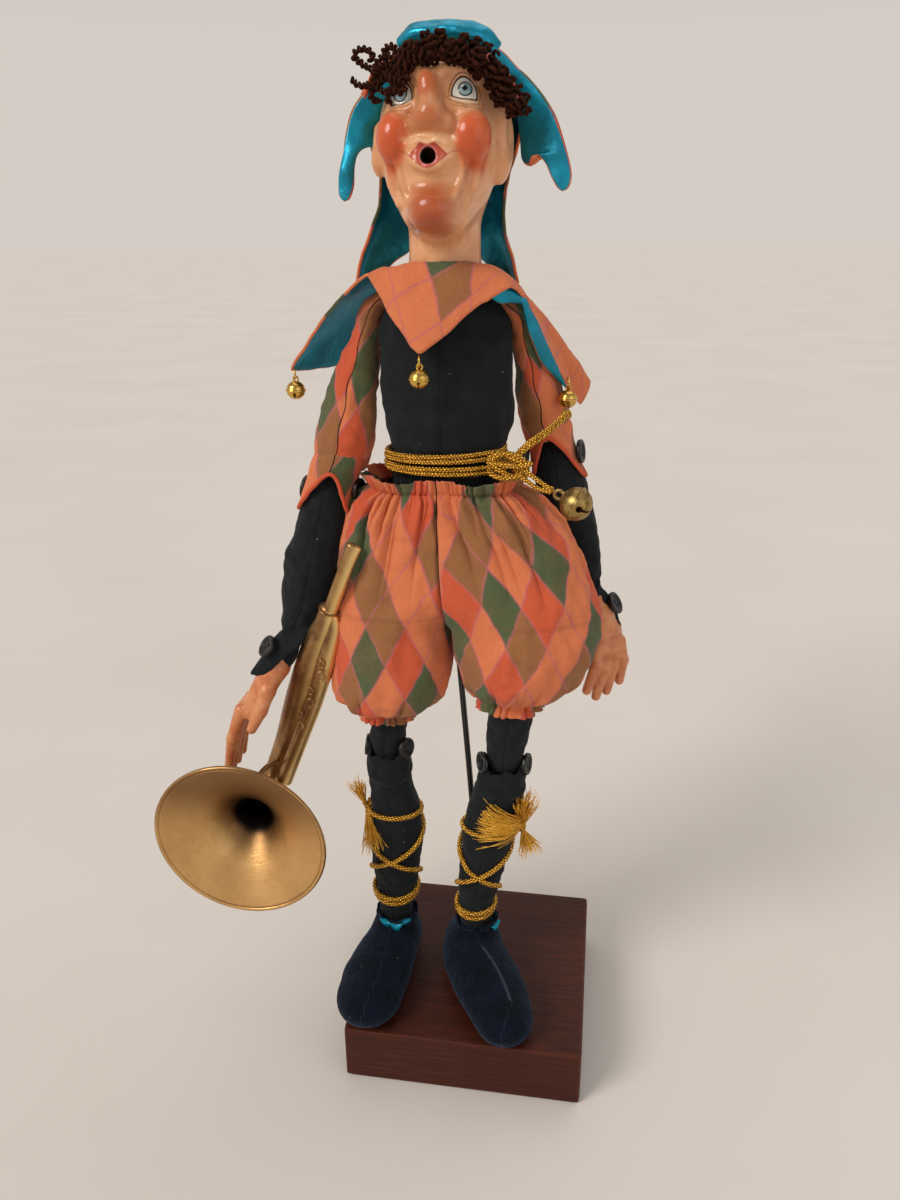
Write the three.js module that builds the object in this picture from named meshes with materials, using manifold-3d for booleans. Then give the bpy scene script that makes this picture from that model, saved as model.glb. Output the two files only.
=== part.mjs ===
// Jester doll on a wooden stand, in millimetres, +Z up. The doll looks along -Y, its right side is at -X.
// The origin is the middle of the base's underside. Stuffed cloth limbs are lofts of ellipses along a smooth line,
// cloth garments are thin closed sheets, cords are swept round sections, the horn and bells are turned profiles.
import * as THREE from "three";
import { mergeVertices } from "three/addons/utils/BufferGeometryUtils.js";
import Module from "manifold-3d";

const wasm = await Module();
wasm.setup();

// ---------- driving sizes ----------
const BASE = { side: 100, height: 26, edge: 1.2 };
const ROD = { r: 1.3, foot: [-1, 20, 14], top: [-13.2, 9, 206], clearance: 0.35 };
const GAP = 0.35;
const BODY_X = -11.5; // the doll's middle plane
const HEAD = { centre: [-12.2, -3, 366], tilt: -14, half: [20.6, 22.5, 27] };
const NECK = { r: 12.3, bottom: 326.4 };
const MOUTH = { r: 2.3, depth: 14 };
const CLOTH = 1.3; // lined cloth, two layers
const BUTTON = { r: 4.6, t: 1.7 };
const CORD_R = 1.0; // gold cord, 2 mm
const LACE_R = 0.85; // leg lacing
const HORN = { bell: [-94.2, -35, 105.3], axis: [0.008, -0.999, -0.054], rim: 36, depth: 29, throat: 5.2, wall: 1.1 };
const SMALL_BELL = 3.5; // radius
const BIG_BELL = 5.9;

// ---------- materials ----------
const mat = (color, roughness, metalness = 0) => new THREE.MeshStandardMaterial({ color, roughness, metalness });
const M = {
  wood: mat("#4a1d12", 0.45),
  rod: mat("#101012", 0.4, 0.6),
  black: mat("#15181d", 0.9),
  print: mat("#cf6440", 0.85),
  teal: mat("#146f80", 0.35),
  skin: mat("#d99a70", 0.3),
  hair: mat("#2c1713", 0.95),
  gold: mat("#c08a1c", 0.5, 0.3),
  brass: mat("#a8752c", 0.38, 0.8),
  bell: mat("#b99a45", 0.3, 0.9),
  navy: mat("#0f1a30", 0.95),
  button: mat("#101010", 0.35),
};

// ---------- helpers ----------
const V = (a) => new THREE.Vector3(a[0], a[1], a[2]);

function toSolid(g) {
  let b = g.index ? g.toNonIndexed() : g.clone();
  const p = new THREE.BufferGeometry().setAttribute("position", b.getAttribute("position"));
  const m = mergeVertices(p, 1e-3);
  const idx = m.index.array, keep = [];
  for (let i = 0; i < idx.length; i += 3)
    if (idx[i] !== idx[i + 1] && idx[i + 1] !== idx[i + 2] && idx[i] !== idx[i + 2]) keep.push(idx[i], idx[i + 1], idx[i + 2]);
  const s = new wasm.Manifold(new wasm.Mesh({ numProp: 3, vertProperties: m.attributes.position.array, triVerts: new Uint32Array(keep) }));
  if (s.volume() < 0) {
    for (let i = 0; i < keep.length; i += 3) [keep[i + 1], keep[i + 2]] = [keep[i + 2], keep[i + 1]];
    return new wasm.Manifold(new wasm.Mesh({ numProp: 3, vertProperties: m.attributes.position.array, triVerts: new Uint32Array(keep) }));
  }
  return s;
}

function toGeometry(s) {
  const m = s.getMesh(), n = m.numProp, count = m.vertProperties.length / n;
  const p = new Float32Array(count * 3);
  for (let i = 0; i < count; i++) for (let k = 0; k < 3; k++) p[3 * i + k] = m.vertProperties[n * i + k];
  const g = new THREE.BufferGeometry();
  g.setAttribute("position", new THREE.BufferAttribute(p, 3));
  g.setIndex(new THREE.BufferAttribute(new Uint32Array(m.triVerts), 1));
  const flat = g.toNonIndexed();
  flat.computeVertexNormals();
  return flat;
}

const union = (list) => list.reduce((a, b) => a.add(b));

// A number or point eased between stations, t from 0 to 1.
function along(list, t) {
  const n = list.length - 1, x = Math.min(Math.max(t, 0), 1) * n, i = Math.min(Math.floor(x), n - 1), f = x - i;
  const at = (k) => list[Math.min(Math.max(k, 0), n)];
  const cr = (a, b, c, d) => 0.5 * (2 * b + (c - a) * f + (2 * a - 5 * b + 4 * c - d) * f * f + (3 * b - a - 3 * c + d) * f * f * f);
  if (typeof list[0] === "number") return cr(at(i - 1), at(i), at(i + 1), at(i + 2));
  return list[0].map((_, k) => cr(at(i - 1)[k], at(i)[k], at(i + 1)[k], at(i + 2)[k]));
}

// A stuffed form: each station is [x, y, z, half width, half depth]. The sphere's rings are laid along the stations,
// closing to a point at each end. depthAxis says which way "depth" looks.
function stuffed(stations, { around = 10, rings = 8, depthAxis = [0, 1, 0], grow = 0, bump = null } = {}) {
  const g = new THREE.SphereGeometry(1, around, rings);
  const pos = g.attributes.position, uv = g.attributes.uv, dAx = V(depthAxis);
  const pt = (t) => V(along(stations.map((s) => s.slice(0, 3)), t));
  for (let i = 0; i < pos.count; i++) {
    const row = Math.round((1 - uv.getY(i)) * rings), col = uv.getX(i) * around;
    const pole = row === 0 || row === rings;
    const t = pole ? (row === 0 ? 0 : 1) : (row - 1) / (rings - 2);
    const c = pt(t), a = pt(Math.max(t - 0.02, 0)), b = pt(Math.min(t + 0.02, 1));
    const tan = b.clone().sub(a).normalize();
    const side = new THREE.Vector3().crossVectors(tan, dAx).normalize();
    const dep = new THREE.Vector3().crossVectors(side, tan).normalize();
    const st = along(stations.map((s) => [s[3], s[4]]), t);
    if (pole) {
      const e = row === 0 ? -1 : 1;
      c.addScaledVector(tan, e * (0.35 * Math.min(st[0], st[1]) + grow));
      pos.setXYZ(i, c.x, c.y, c.z);
      continue;
    }
    const ang = (2 * Math.PI * (Math.round(col) % around)) / around;
    const k = bump ? bump(t, ang) : 1;
    c.addScaledVector(side, (st[0] * k + grow) * Math.cos(ang)).addScaledVector(dep, (st[1] * k + grow) * Math.sin(ang));
    pos.setXYZ(i, c.x, c.y, c.z);
  }
  return toSolid(g);
}

const ellipsoid = (c, r, { around = 8, rings = 6, rot = null, grow = 0 } = {}) => {
  const g = new THREE.SphereGeometry(1, around, rings).scale(r[0] + grow, r[1] + grow, r[2] + grow);
  if (rot) g.applyMatrix4(new THREE.Matrix4().makeRotationFromEuler(new THREE.Euler(...rot.map((d) => (d * Math.PI) / 180))));
  return toSolid(g.translate(...c));
};

// Turned profile [[radius, height], ...] about an axis.
function turned(profile, at, axis, segments = 12) {
  const g = new THREE.LatheGeometry(profile.map((p) => new THREE.Vector2(p[0], p[1])), segments);
  const q = new THREE.Quaternion().setFromUnitVectors(new THREE.Vector3(0, 1, 0), V(axis).normalize());
  return toSolid(g.applyQuaternion(q).translate(...at));
}

const rod = (a, b, r, sides = 8) => {
  const d = V(b).sub(V(a)), g = new THREE.CylinderGeometry(r, r, d.length(), sides);
  g.applyQuaternion(new THREE.Quaternion().setFromUnitVectors(new THREE.Vector3(0, 1, 0), d.clone().normalize()));
  return toSolid(g.translate((a[0] + b[0]) / 2, (a[1] + b[1]) / 2, (a[2] + b[2]) / 2));
};

// A cord: a round section swept along a smooth line.
function cord(points, r, steps, sides = 5, closed = false) {
  const curve = new THREE.CatmullRomCurve3(points.map(V), closed);
  if (closed) return toSolid(new THREE.TubeGeometry(curve, steps, r, sides, true));
  const s = new THREE.Shape();
  for (let i = 0; i < sides; i++) {
    const a = (2 * Math.PI * i) / sides;
    i ? s.lineTo(r * Math.cos(a), r * Math.sin(a)) : s.moveTo(r, 0);
  }
  s.closePath();
  return toSolid(new THREE.ExtrudeGeometry(s, { steps, bevelEnabled: false, extrudePath: curve }));
}

// A thin closed sheet of cloth: f(u, v) gives the outer face; the inner face lies thick behind it. wrap closes it in u.
function clothSheet(f, nu, nv, thick, wrap) {
  const cu = wrap ? nu : nu + 1, P = [], N = [];
  const at = (i, j) => f(wrap ? (((i % nu) + nu) % nu) / nu : i / nu, j / nv);
  for (let i = 0; i < cu; i++)
    for (let j = 0; j <= nv; j++) {
      const e = 0.35, p = at(i, j);
      const pu1 = f(wrap ? (((i + e) % nu) + nu) % nu / nu : Math.min((i + e) / nu, 1), j / nv), pu0 = f(wrap ? (((i - e) % nu) + nu) % nu / nu : Math.max((i - e) / nu, 0), j / nv);
      const pv1 = f(wrap ? (i % nu) / nu : i / nu, Math.min((j + e) / nv, 1)), pv0 = f(wrap ? (i % nu) / nu : i / nu, Math.max((j - e) / nv, 0));
      const n = new THREE.Vector3().crossVectors(V(pu1).sub(V(pu0)), V(pv1).sub(V(pv0))).normalize();
      P.push(V(p)); N.push(n);
    }
  const id = (i, j) => (i % cu) * (nv + 1) + j, out = [];
  const A = (k) => P[k], B = (k) => P[k].clone().addScaledVector(N[k], -thick);
  const quad = (a, b, c, d) => out.push(a, b, c, a, c, d);
  for (let i = 0; i < nu; i++)
    for (let j = 0; j < nv; j++) {
      const a = id(i, j), b = id(i + 1, j), c = id(i + 1, j + 1), d = id(i, j + 1);
      quad(A(a), A(b), A(c), A(d));
      quad(B(d), B(c), B(b), B(a));
    }
  for (let i = 0; i < nu; i++) {
    const a = id(i, 0), b = id(i + 1, 0), c = id(i, nv), d = id(i + 1, nv);
    quad(A(a), B(a), B(b), A(b));
    quad(A(d), B(d), B(c), A(c));
  }
  if (!wrap)
    for (let j = 0; j < nv; j++) {
      const a = id(0, j), b = id(0, j + 1), c = id(nu, j), d = id(nu, j + 1);
      quad(A(b), B(b), B(a), A(a));
      quad(A(c), B(c), B(d), A(d));
    }
  const pos = new Float32Array(out.length * 3);
  out.forEach((p, i) => pos.set([p.x, p.y, p.z], 3 * i));
  return toSolid(new THREE.BufferGeometry().setAttribute("position", new THREE.BufferAttribute(pos, 3)));
}

const group = new THREE.Group();
const solids = {};
const add = (name, solid, material) => {
  solids[name] = { solid, material };
};

// ---------- stand ----------
{
  const h = BASE.side / 2, e = BASE.edge, s = new THREE.Shape();
  s.moveTo(-h + e, -h + e); s.lineTo(h - e, -h + e); s.lineTo(h - e, h - e); s.lineTo(-h + e, h - e); s.closePath();
  const g = new THREE.ExtrudeGeometry(s, { depth: BASE.height - 2 * e, bevelEnabled: true, bevelThickness: e, bevelSize: e, bevelSegments: 2 });
  const block = toSolid(g.translate(0, 0, e));
  add("base", block.subtract(rod(ROD.foot, [ROD.foot[0], ROD.foot[1], BASE.height + 5], ROD.r + ROD.clearance)), M.wood);
}
const rodLow = [ROD.foot[0], ROD.foot[1], ROD.foot[2] + 0.4];
const rodFoot = [ROD.foot[0], ROD.foot[1], BASE.height + 0.5];
const rodSolid = (grow = 0) => union([rod(rodLow, rodFoot, ROD.r + grow), ellipsoid(rodFoot, [ROD.r + grow, ROD.r + grow, ROD.r + grow], { around: 8, rings: 4 }), rod(rodFoot, ROD.top, ROD.r + grow)]);
add("stand_rod", rodSolid(), M.rod);

// ---------- torso ----------
const slab = (x0, y0, z0, x1, y1, z1) => toSolid(new THREE.BoxGeometry(x1 - x0, y1 - y0, z1 - z0).translate((x0 + x1) / 2, (y0 + y1) / 2, (z0 + z1) / 2));
const TORSO = [
  [-11.5, 0, 321.5, 12, 9], [-11.5, 0, 318, 18.5, 10.5], [-11.4, -0.5, 309, 23.2, 13], [-11.3, -1, 295, 24.2, 15],
  [-11.1, -1, 281, 24.6, 15.5], [-11.2, 0, 270, 22.8, 14.5], [-11.8, 0, 260, 20, 13], [-12, 0, 249, 20.5, 13.5],
  [-12.5, 0.5, 236, 23.5, 14.5], [-12.5, 1, 220, 23, 14], [-12.5, 2, 208, 17, 11],
];
const torsoForm = (grow = 0) => stuffed(TORSO, { around: 12, rings: 10, grow });
const torso = torsoForm().subtract(slab(-50, -50, NECK.bottom - 1.2, 50, 50, 350)).subtract(rodSolid(GAP));
add("torso", torso, M.black);

// ---------- legs ----------
const THIGH_R = [[-29.5, 0, 201.5, 9.5, 10], [-33, -0.5, 188, 10.5, 11], [-36, -1, 168, 9, 9.5], [-36.8, -1, 150, 7.4, 7.6], [-38.2, -1, 137.5, 6.2, 5.6], [-38.3, -1, 132, 5.4, 3.6]];
const THIGH_L = [[4.5, 0, 201.5, 9.5, 10], [9, -1, 188, 11, 11], [14, -3, 170, 10.5, 10.5], [14.3, -3, 157, 9, 8.6], [12.8, -2.5, 143, 7.4, 6.8], [12, -2, 134, 6, 4.2], [11.8, -2, 130, 5, 3]];
const CALF_R = [[-38.2, -1, 126.5, 5.5, 5], [-37.6, 0, 122, 8.6, 8], [-36.2, 0, 110, 10.1, 9.6], [-35.7, 0.5, 95, 11, 11], [-35.8, 1, 82, 11, 11], [-36.6, 0.5, 68, 9.6, 9.4], [-36.5, 0, 52, 7.4, 7.2], [-36.6, 0, 41, 6.6, 6.4]];
const CALF_L = [[11, -2, 124.5, 6, 5], [10, -1, 120, 9.8, 9], [8.8, 0, 112, 11, 10], [6, 0.5, 99, 11.2, 11], [3.9, 1, 88, 10.4, 10.6], [1.7, 0.5, 73, 9.2, 9.2], [-0.3, 0, 56, 7.4, 7.2], [0.1, 0, 43, 6.6, 6.4]];
const thigh = (line, grow = 0) => stuffed(line, { around: 8, rings: 6, grow });
add("thigh_right", thigh(THIGH_R), M.black);
add("thigh_left", thigh(THIGH_L), M.black);
// Each shin ends above in two tabs that straddle the end of the thigh, with a button on each.
const tab = (a, b, w, t) => stuffed([[...a, t, w * 0.75], [...a.map((v, i) => (v + b[i]) / 2), t, w], [...b, t * 0.8, w * 0.7]], { around: 6, rings: 4 });
const shin = (line, grow = 0) => stuffed(line, { around: 10, rings: 8, grow });
add("shin_right", union([shin(CALF_R), tab([-44, -1, 120], [-46.8, -1, 138.5], 5.4, 1.7), tab([-31, -1, 120], [-29.7, -1, 138.5], 5.4, 1.7)]).subtract(thigh(THIGH_R, GAP)), M.black);
add("shin_left", union([shin(CALF_L), tab([3.2, -2, 119], [3, -2.4, 136.5], 5.6, 1.7), tab([17.6, -2, 119], [21.4, -2.4, 136.5], 5.6, 1.7)]).subtract(thigh(THIGH_L, GAP)), M.black);

// ---------- shoes ----------
// A soft boot: foot, then a short shaft whose mouth the shin goes into. The flat sole is just clear of the base.
const shoe = (foot, ankle, line) => {
  const shaft = [[ankle[0], ankle[1], 33, 10, 10.5], [ankle[0], ankle[1], 41, 8.8, 8.8], [ankle[0], ankle[1], 49.5, 9.4, 9.4]];
  return stuffed(foot, { around: 10, rings: 8, depthAxis: [0, 0, 1] }).add(stuffed(shaft, { around: 10, rings: 4 }))
    .subtract(slab(-80, -80, 0, 80, 80, BASE.height + GAP)).subtract(stuffed(line.slice(-3), { around: 10, rings: 4, grow: 0.6 })).subtract(slab(-80, -80, 50.6, 80, 80, 90));
};
add("shoe_right", shoe([[-34.5, 11, 35, 9, 8.5], [-35.6, 3, 36, 12, 10.5], [-37.6, -12, 36, 14.2, 11.6], [-40.4, -28, 35, 15, 10.4], [-41.4, -41, 33.4, 12.4, 8.6], [-41.5, -48, 32.4, 8, 6]], [-36.6, 0], CALF_R), M.navy);
add("shoe_left", shoe([[-2.5, 11, 35, 9, 8.5], [-0.2, 3, 36, 12, 10.5], [4.6, -12, 36, 13.6, 11.6], [11.2, -28, 35, 14, 10.4], [17.2, -42, 33, 11.8, 8.4], [20, -49.5, 32, 7.4, 5.8]], [0.2, 0], CALF_L), M.navy);

// ---------- bloomers ----------
// Two gathered legs and a waist, hollow where the body and thighs go in.
const LEG_R = [[-28, 1, 236, 17, 15], [-31, 0.5, 222, 20.5, 19], [-34, 0, 205, 23, 22], [-34, -1, 186, 24.2, 24], [-34.2, -2, 170, 24.2, 23.5], [-36.2, -2, 159, 19.5, 19], [-37.2, -1.5, 153.5, 10.5, 10.5]];
const LEG_L = [[2, 1, 238, 17, 15], [12, -1, 224, 25, 19.5], [18, -3, 206, 29.2, 24], [19.5, -4, 190, 28.5, 26], [18.5, -4, 177, 25, 23.5], [17, -3.5, 168, 19, 18], [15, -3, 162.5, 12, 11.5]];
const WAIST = [[-14.5, 0, 252.5, 27.5, 19.5], [-14.5, 0, 246, 28, 20], [-13, 0, 236, 34, 20], [-10, 0, 222, 40, 21], [-8, 0, 205, 36, 19]];
const INSIDE = [[-14, 0, 262, 24.8, 17.2], [-14, 0, 250, 24.6, 17], [-12.5, 0.5, 238, 24.4, 15.6], [-12.5, 1, 222, 24, 14.8], [-12.5, 2, 207, 18.2, 12]];
const bloomers = union([stuffed(LEG_R, { around: 11, rings: 8 }), stuffed(LEG_L, { around: 11, rings: 8 }), stuffed(WAIST, { around: 12, rings: 4 })])
  .subtract(stuffed(INSIDE, { around: 12, rings: 6, grow: 0.55 })).subtract(thigh(THIGH_R, GAP)).subtract(thigh(THIGH_L, GAP)).subtract(rodSolid(GAP));

// ---------- arms ----------
const UPPER_R = [[-31, 0, 319, 3, 4], [-38, 0, 313.5, 4, 5.4], [-40.4, 0, 306, 4.8, 6.8], [-42.6, 0, 297.5, 6.4, 8.8], [-45.8, 0, 287, 8.6, 10], [-49.2, 0, 272, 11, 11.5], [-51.8, 0, 260, 10.6, 11], [-54.2, -0.5, 254.5, 8.6, 8]];
const FORE_R = [[-56.8, -1.5, 249.6, 4, 3.4], [-58.2, -2, 242, 8, 7], [-61.5, -3, 227, 11.2, 10.5], [-64.2, -3, 215, 12.6, 11.5], [-68.4, -3.5, 200.5, 10.6, 9.5], [-73, -4.5, 191, 7.2, 6.5], [-75.5, -5.5, 186.5, 4.6, 4.6]];
const UPPER_L = [[6.5, 1, 319, 3, 4], [14, 3.5, 313, 4, 5.4], [16.4, 7, 305.5, 4.8, 6.8], [18.4, 10.5, 297, 6.2, 8.6], [20.8, 15, 286, 8.4, 9.6], [23, 20, 275, 9.6, 10.6], [24.4, 23, 267, 8, 9]];
const FORE_L = [[26, 23.5, 260.4, 4, 4], [28, 23.3, 253.5, 8, 7], [32, 22.6, 239, 10.4, 9.6], [36, 21.4, 225, 10.2, 9.4], [40.8, 18.6, 211.5, 7.6, 7], [43.4, 16.8, 204, 4.6, 4.4]];
const armPart = (line, grow = 0) => stuffed(line, { around: 10, rings: 8, grow });
const petal = (a, b, c, w, t) => stuffed([[...a, t, w * 0.7], [...b, t, w], [...c, t * 0.7, w * 0.45]], { around: 6, rings: 4 });
add("upper_arm_right", union([armPart(UPPER_R), tab([-61.5, -1, 258], [-67.6, -2.5, 241], 5.6, 1.3), tab([-46.8, -1, 257], [-49.4, -2.5, 240], 5.6, 1.3)]).subtract(armPart(FORE_R, GAP)).subtract(torsoForm(GAP)), M.print);
add("upper_arm_left", union([armPart(UPPER_L), tab([17.6, 22.5, 268], [17.4, 22.9, 252], 5.2, 1.3), tab([32.4, 22.5, 268], [38.2, 22.4, 252], 5.2, 1.3)]).subtract(armPart(FORE_L, GAP)).subtract(torsoForm(GAP)), M.print);

// Hands: palm and wrist tab, four fingers side by side and a thumb.
const PALM_R = [[-77.6, -8, 181.5], [-87, -10, 165.5], [-96, -9.5, 150]], PALM_L = [[45.6, 15.5, 200], [50.6, 12, 187], [52.4, 10.6, 178]];
const palm = ([a, b, c], grow = 0) => stuffed([[...a, 3, 4.2], [...a.map((v, i) => v * 0.6 + b[i] * 0.4), 4.4, 6], [...b, 6, 8.6], [...c, 4.6, 8.4]], { around: 8, rings: 5, grow });
const hand = (p, tips, thumb, spread, dir) => {
  const k0 = p[2], list = [palm(p)];
  tips.forEach((tip, i) => {
    const s = (i - 1.5) * spread, k = [k0[0] + dir[0] * s, k0[1] + dir[1] * s, k0[2] + 4], m = k.map((v, n) => (v + tip[n]) / 2);
    list.push(stuffed([[...k, 3, 2.6], [m[0] + 1.2 * Math.sign(p[0][0]), m[1], m[2], 2.8, 2.5], [...tip, 2.1, 2.1]], { around: 5, rings: 4 }));
  });
  list.push(stuffed([[...thumb[0], 3, 3], [...thumb[0].map((v, i) => (v + thumb[1][i]) / 2), 3, 3], [...thumb[1], 2.4, 2.4]], { around: 6, rings: 4 }));
  return union(list);
};
add("hand_right", hand(PALM_R, [[-104.2, -15.5, 127.5], [-104.6, -11, 125.6], [-104, -6.5, 126.4], [-103, -2.5, 129]], [[-84, -15, 165], [-91.5, -17.5, 148.5]], 4.3, [0, 1]), M.skin);
add("hand_left", hand(PALM_L, [[57.6, 12.5, 166.6], [52.6, 8.4, 163.6], [48.4, 5, 162.4], [44.6, 3.2, 165.6]], [[53.9, 17, 189], [59, 14.5, 175.5]], 3.6, [-0.8, -0.5]), M.skin);
add("forearm_right", union([armPart(FORE_R), petal([-74.6, -6, 189], [-80.5, -7, 184], [-87.2, -8, 174.5], 6.4, 1.3), petal([-71.6, -6, 187], [-73, -7, 180.5], [-74.6, -8, 173], 5.6, 1.2)]).subtract(palm(PALM_R, GAP)), M.black);
add("forearm_left", union([armPart(FORE_L), petal([44.8, 17, 206], [50, 16, 198.6], [54, 15, 190.5], 5.6, 1.2), petal([42.4, 18.4, 205], [42.6, 17.6, 198], [43.2, 16.6, 191], 4.8, 1.2)]).subtract(palm(PALM_L, GAP)), M.black);
add("bloomers", bloomers.subtract(armPart(FORE_R, GAP)).subtract(armPart(FORE_L, GAP)), M.print);

// ---------- buttons ----------
const buttonProfile = [[0, -BUTTON.t / 2], [BUTTON.r, -BUTTON.t / 2], [BUTTON.r, BUTTON.t * 0.35], [BUTTON.r * 0.7, BUTTON.t / 2], [0, BUTTON.t * 0.1]];
const BUTTONS = {
  button_knee_right_outer: [[-49.7, -1, 135.4], [-1, -0.25, 0.1]],
  button_knee_right_inner: [[-26.6, -1, 135.4], [1, -0.3, 0.1]],
  button_knee_left_inner: [[-0.1, -2.4, 132.6], [-1, -0.3, 0.1]],
  button_knee_left_outer: [[24.2, -2.4, 132.6], [1, -0.25, 0.1]],
  button_elbow_right_outer: [[-68.7, -2, 247.2], [-1, -0.15, 0.35]],
  button_elbow_right_inner: [[-45.4, -2, 247.6], [1, -0.2, -0.1]],
  button_elbow_left_outer: [[39.2, 22.4, 259.7], [1, -0.2, 0.3]],
  button_elbow_left_inner: [[14.3, 22.7, 257], [-1, -0.2, 0.1]],
  button_wrist_right: [[-85.4, -8.2, 183.2], [-0.75, -0.25, 0.6]],
  button_wrist_left: [[54.2, 15.8, 199.4], [0.8, -0.25, 0.5]],
};
for (const [name, [at, axis]] of Object.entries(BUTTONS)) add(name, turned(buttonProfile, at, axis, 8), M.button);

// ---------- head ----------
const tilt = new THREE.Matrix4().makeRotationX((HEAD.tilt * Math.PI) / 180);
const headPoint = (p) => V(p).applyMatrix4(tilt).add(V(HEAD.centre)).toArray();
const gauss = (x, y, z, c, w) => Math.exp(-(((x - c[0]) / w[0]) ** 2 + ((y - c[1]) / w[1]) ** 2 + ((z - c[2]) / w[2]) ** 2));
// Lumps that swell or sink the head, in the head's own frame: [centre, widths, height].
const LUMPS = [
  [[0, -23, 3], [4.6, 9, 9], 7.5], // nose ridge
  [[0, -26, -4], [5.6, 10, 5], 8], // nose end
  [[0, -22, 10], [4, 8, 4], 3.4], // bump on the bridge
  [[14, -17, -4], [7.2, 8, 9], 4.6], [[-14, -17, -4], [7.2, 8, 9], 4.6], // cheeks
  [[0, -21, -12], [9, 8, 5.5], 4.2], // muzzle
  [[0, -15, -25], [8.5, 9, 6], 6], // chin
  [[9.5, -20, 9], [5, 8, 4.5], -2.4], [[-9.5, -20, 9], [5, 8, 4.5], -2.4], // eye hollows
];
function headShell(grow = 0, around = 20, rings = 15) {
  const g = new THREE.SphereGeometry(1, around, rings), pos = g.attributes.position;
  for (let i = 0; i < pos.count; i++) {
    const n = new THREE.Vector3(pos.getX(i), pos.getY(i), pos.getZ(i)).applyAxisAngle(new THREE.Vector3(0, 0, 1), Math.PI / 2); // poles at the ears
    const jaw = 1 - 0.16 * Math.max(0, -n.z) ** 1.6;
    const p = new THREE.Vector3(n.x * HEAD.half[0] * jaw, n.y * HEAD.half[1], n.z * HEAD.half[2]);
    let k = grow;
    for (const [c, w, h] of LUMPS) k += h * gauss(p.x, p.y, p.z, c, w);
    p.addScaledVector(n, k);
    pos.setXYZ(i, p.x, p.y, p.z);
  }
  return toSolid(g.applyMatrix4(tilt).translate(...HEAD.centre));
}
const neck = stuffed([[-11.3, 0.5, 324, NECK.r + 0.4, NECK.r], [-11.4, 0.3, 334, NECK.r - 0.2, NECK.r], [-11.8, 0, 343, NECK.r + 0.4, NECK.r], [-12.2, 0, 352, 13.5, 13]], { around: 12, rings: 5 });
const ear = (side) => ellipsoid(headPoint([side * 22.2, 1.5, -5.5]), [2.7, 4.6, 7.4], { around: 6, rings: 5, rot: [HEAD.tilt, 0, side * 22] });
const mouth = rod(headPoint([0, -40, -9.5]), headPoint([0, -34 + MOUTH.depth + 6, -9.5]), MOUTH.r, 8);
add("head", union([headShell(), neck, ear(1), ear(-1)]).subtract(mouth).subtract(slab(-50, -50, 300, 50, 50, NECK.bottom - 0.8)), M.skin);

// ---------- collar ----------
// Each station is [neck point, middle, edge]; the edge runs out to the four points.
const COLLAR = [
  [[-11, -13.8, 329.4], [-13.5, -19.5, 318], [-16, -25.4, 301.6]], // front point
  [[-3, -13.2, 329.2], [0, -16.6, 325.4], [2.4, -18.6, 316.5]],
  [[3.8, -8, 328], [8, -12.5, 326.5], [12.6, -15.6, 321.5]], // front left hollow
  [[5.8, -2, 327], [14, -5, 325], [24, -3, 309]],
  [[6, 3, 326.6], [17, 6, 323], [34, 13, 281.5]], // left point
  [[4.4, 9, 327], [16, 17, 320], [33.5, 25.5, 297]],
  [[0, 13.4, 327.4], [8, 22, 319], [15, 31, 305]], // back left hollow
  [[-11.5, 15.4, 328], [-11.5, 26, 316], [-11.5, 36.5, 283]], // back point
  [[-22, 13.4, 327.4], [-31, 22, 319], [-38, 31, 305]], // back right hollow
  [[-26.9, 8, 326.8], [-38, 15, 317], [-50, 19, 293]],
  [[-28.4, 2, 326.4], [-42, 6, 318], [-64.6, -3.5, 291.6]], // right point
  [[-28.4, -3, 326.8], [-35.5, -6.5, 324.6], [-46, -9, 313.5]],
  [[-26, -9, 327.6], [-31, -13.4, 325.6], [-35, -16.2, 320.6]], // front right hollow
  [[-19.8, -12.8, 329], [-23.6, -17, 324.6], [-26, -20, 314]],
];
const collarAt = (u, v) => {
  const n = COLLAR.length, x = u * n, i = Math.floor(x) % n, f = x - Math.floor(x);
  const at = (k) => COLLAR[((k % n) + n) % n];
  const row = (j, k) => {
    const a = at(i - 1)[j][k], b = at(i)[j][k], c = at(i + 1)[j][k], d = at(i + 2)[j][k];
    const tight = j === 2 ? 0.35 : 1; // the edge turns more sharply at the points than the neck does
    const m1 = 0.5 * (c - a) * tight, m2 = 0.5 * (d - b) * tight, f2 = f * f, f3 = f2 * f;
    return (2 * f3 - 3 * f2 + 1) * b + (f3 - 2 * f2 + f) * m1 + (-2 * f3 + 3 * f2) * c + (f3 - f2) * m2;
  };
  return [0, 1, 2].map((k) => {
    const A = row(0, k), B = row(1, k), C = row(2, k);
    return (1 - v) * (1 - 2 * v) * A + 4 * v * (1 - v) * B + v * (2 * v - 1) * C;
  });
};
const collar = clothSheet(collarAt, 28, 4, CLOTH, true);
add("collar", collar.subtract(torsoForm(GAP)).subtract(armPart(UPPER_R, GAP)).subtract(armPart(UPPER_L, GAP)), M.print);

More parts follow.
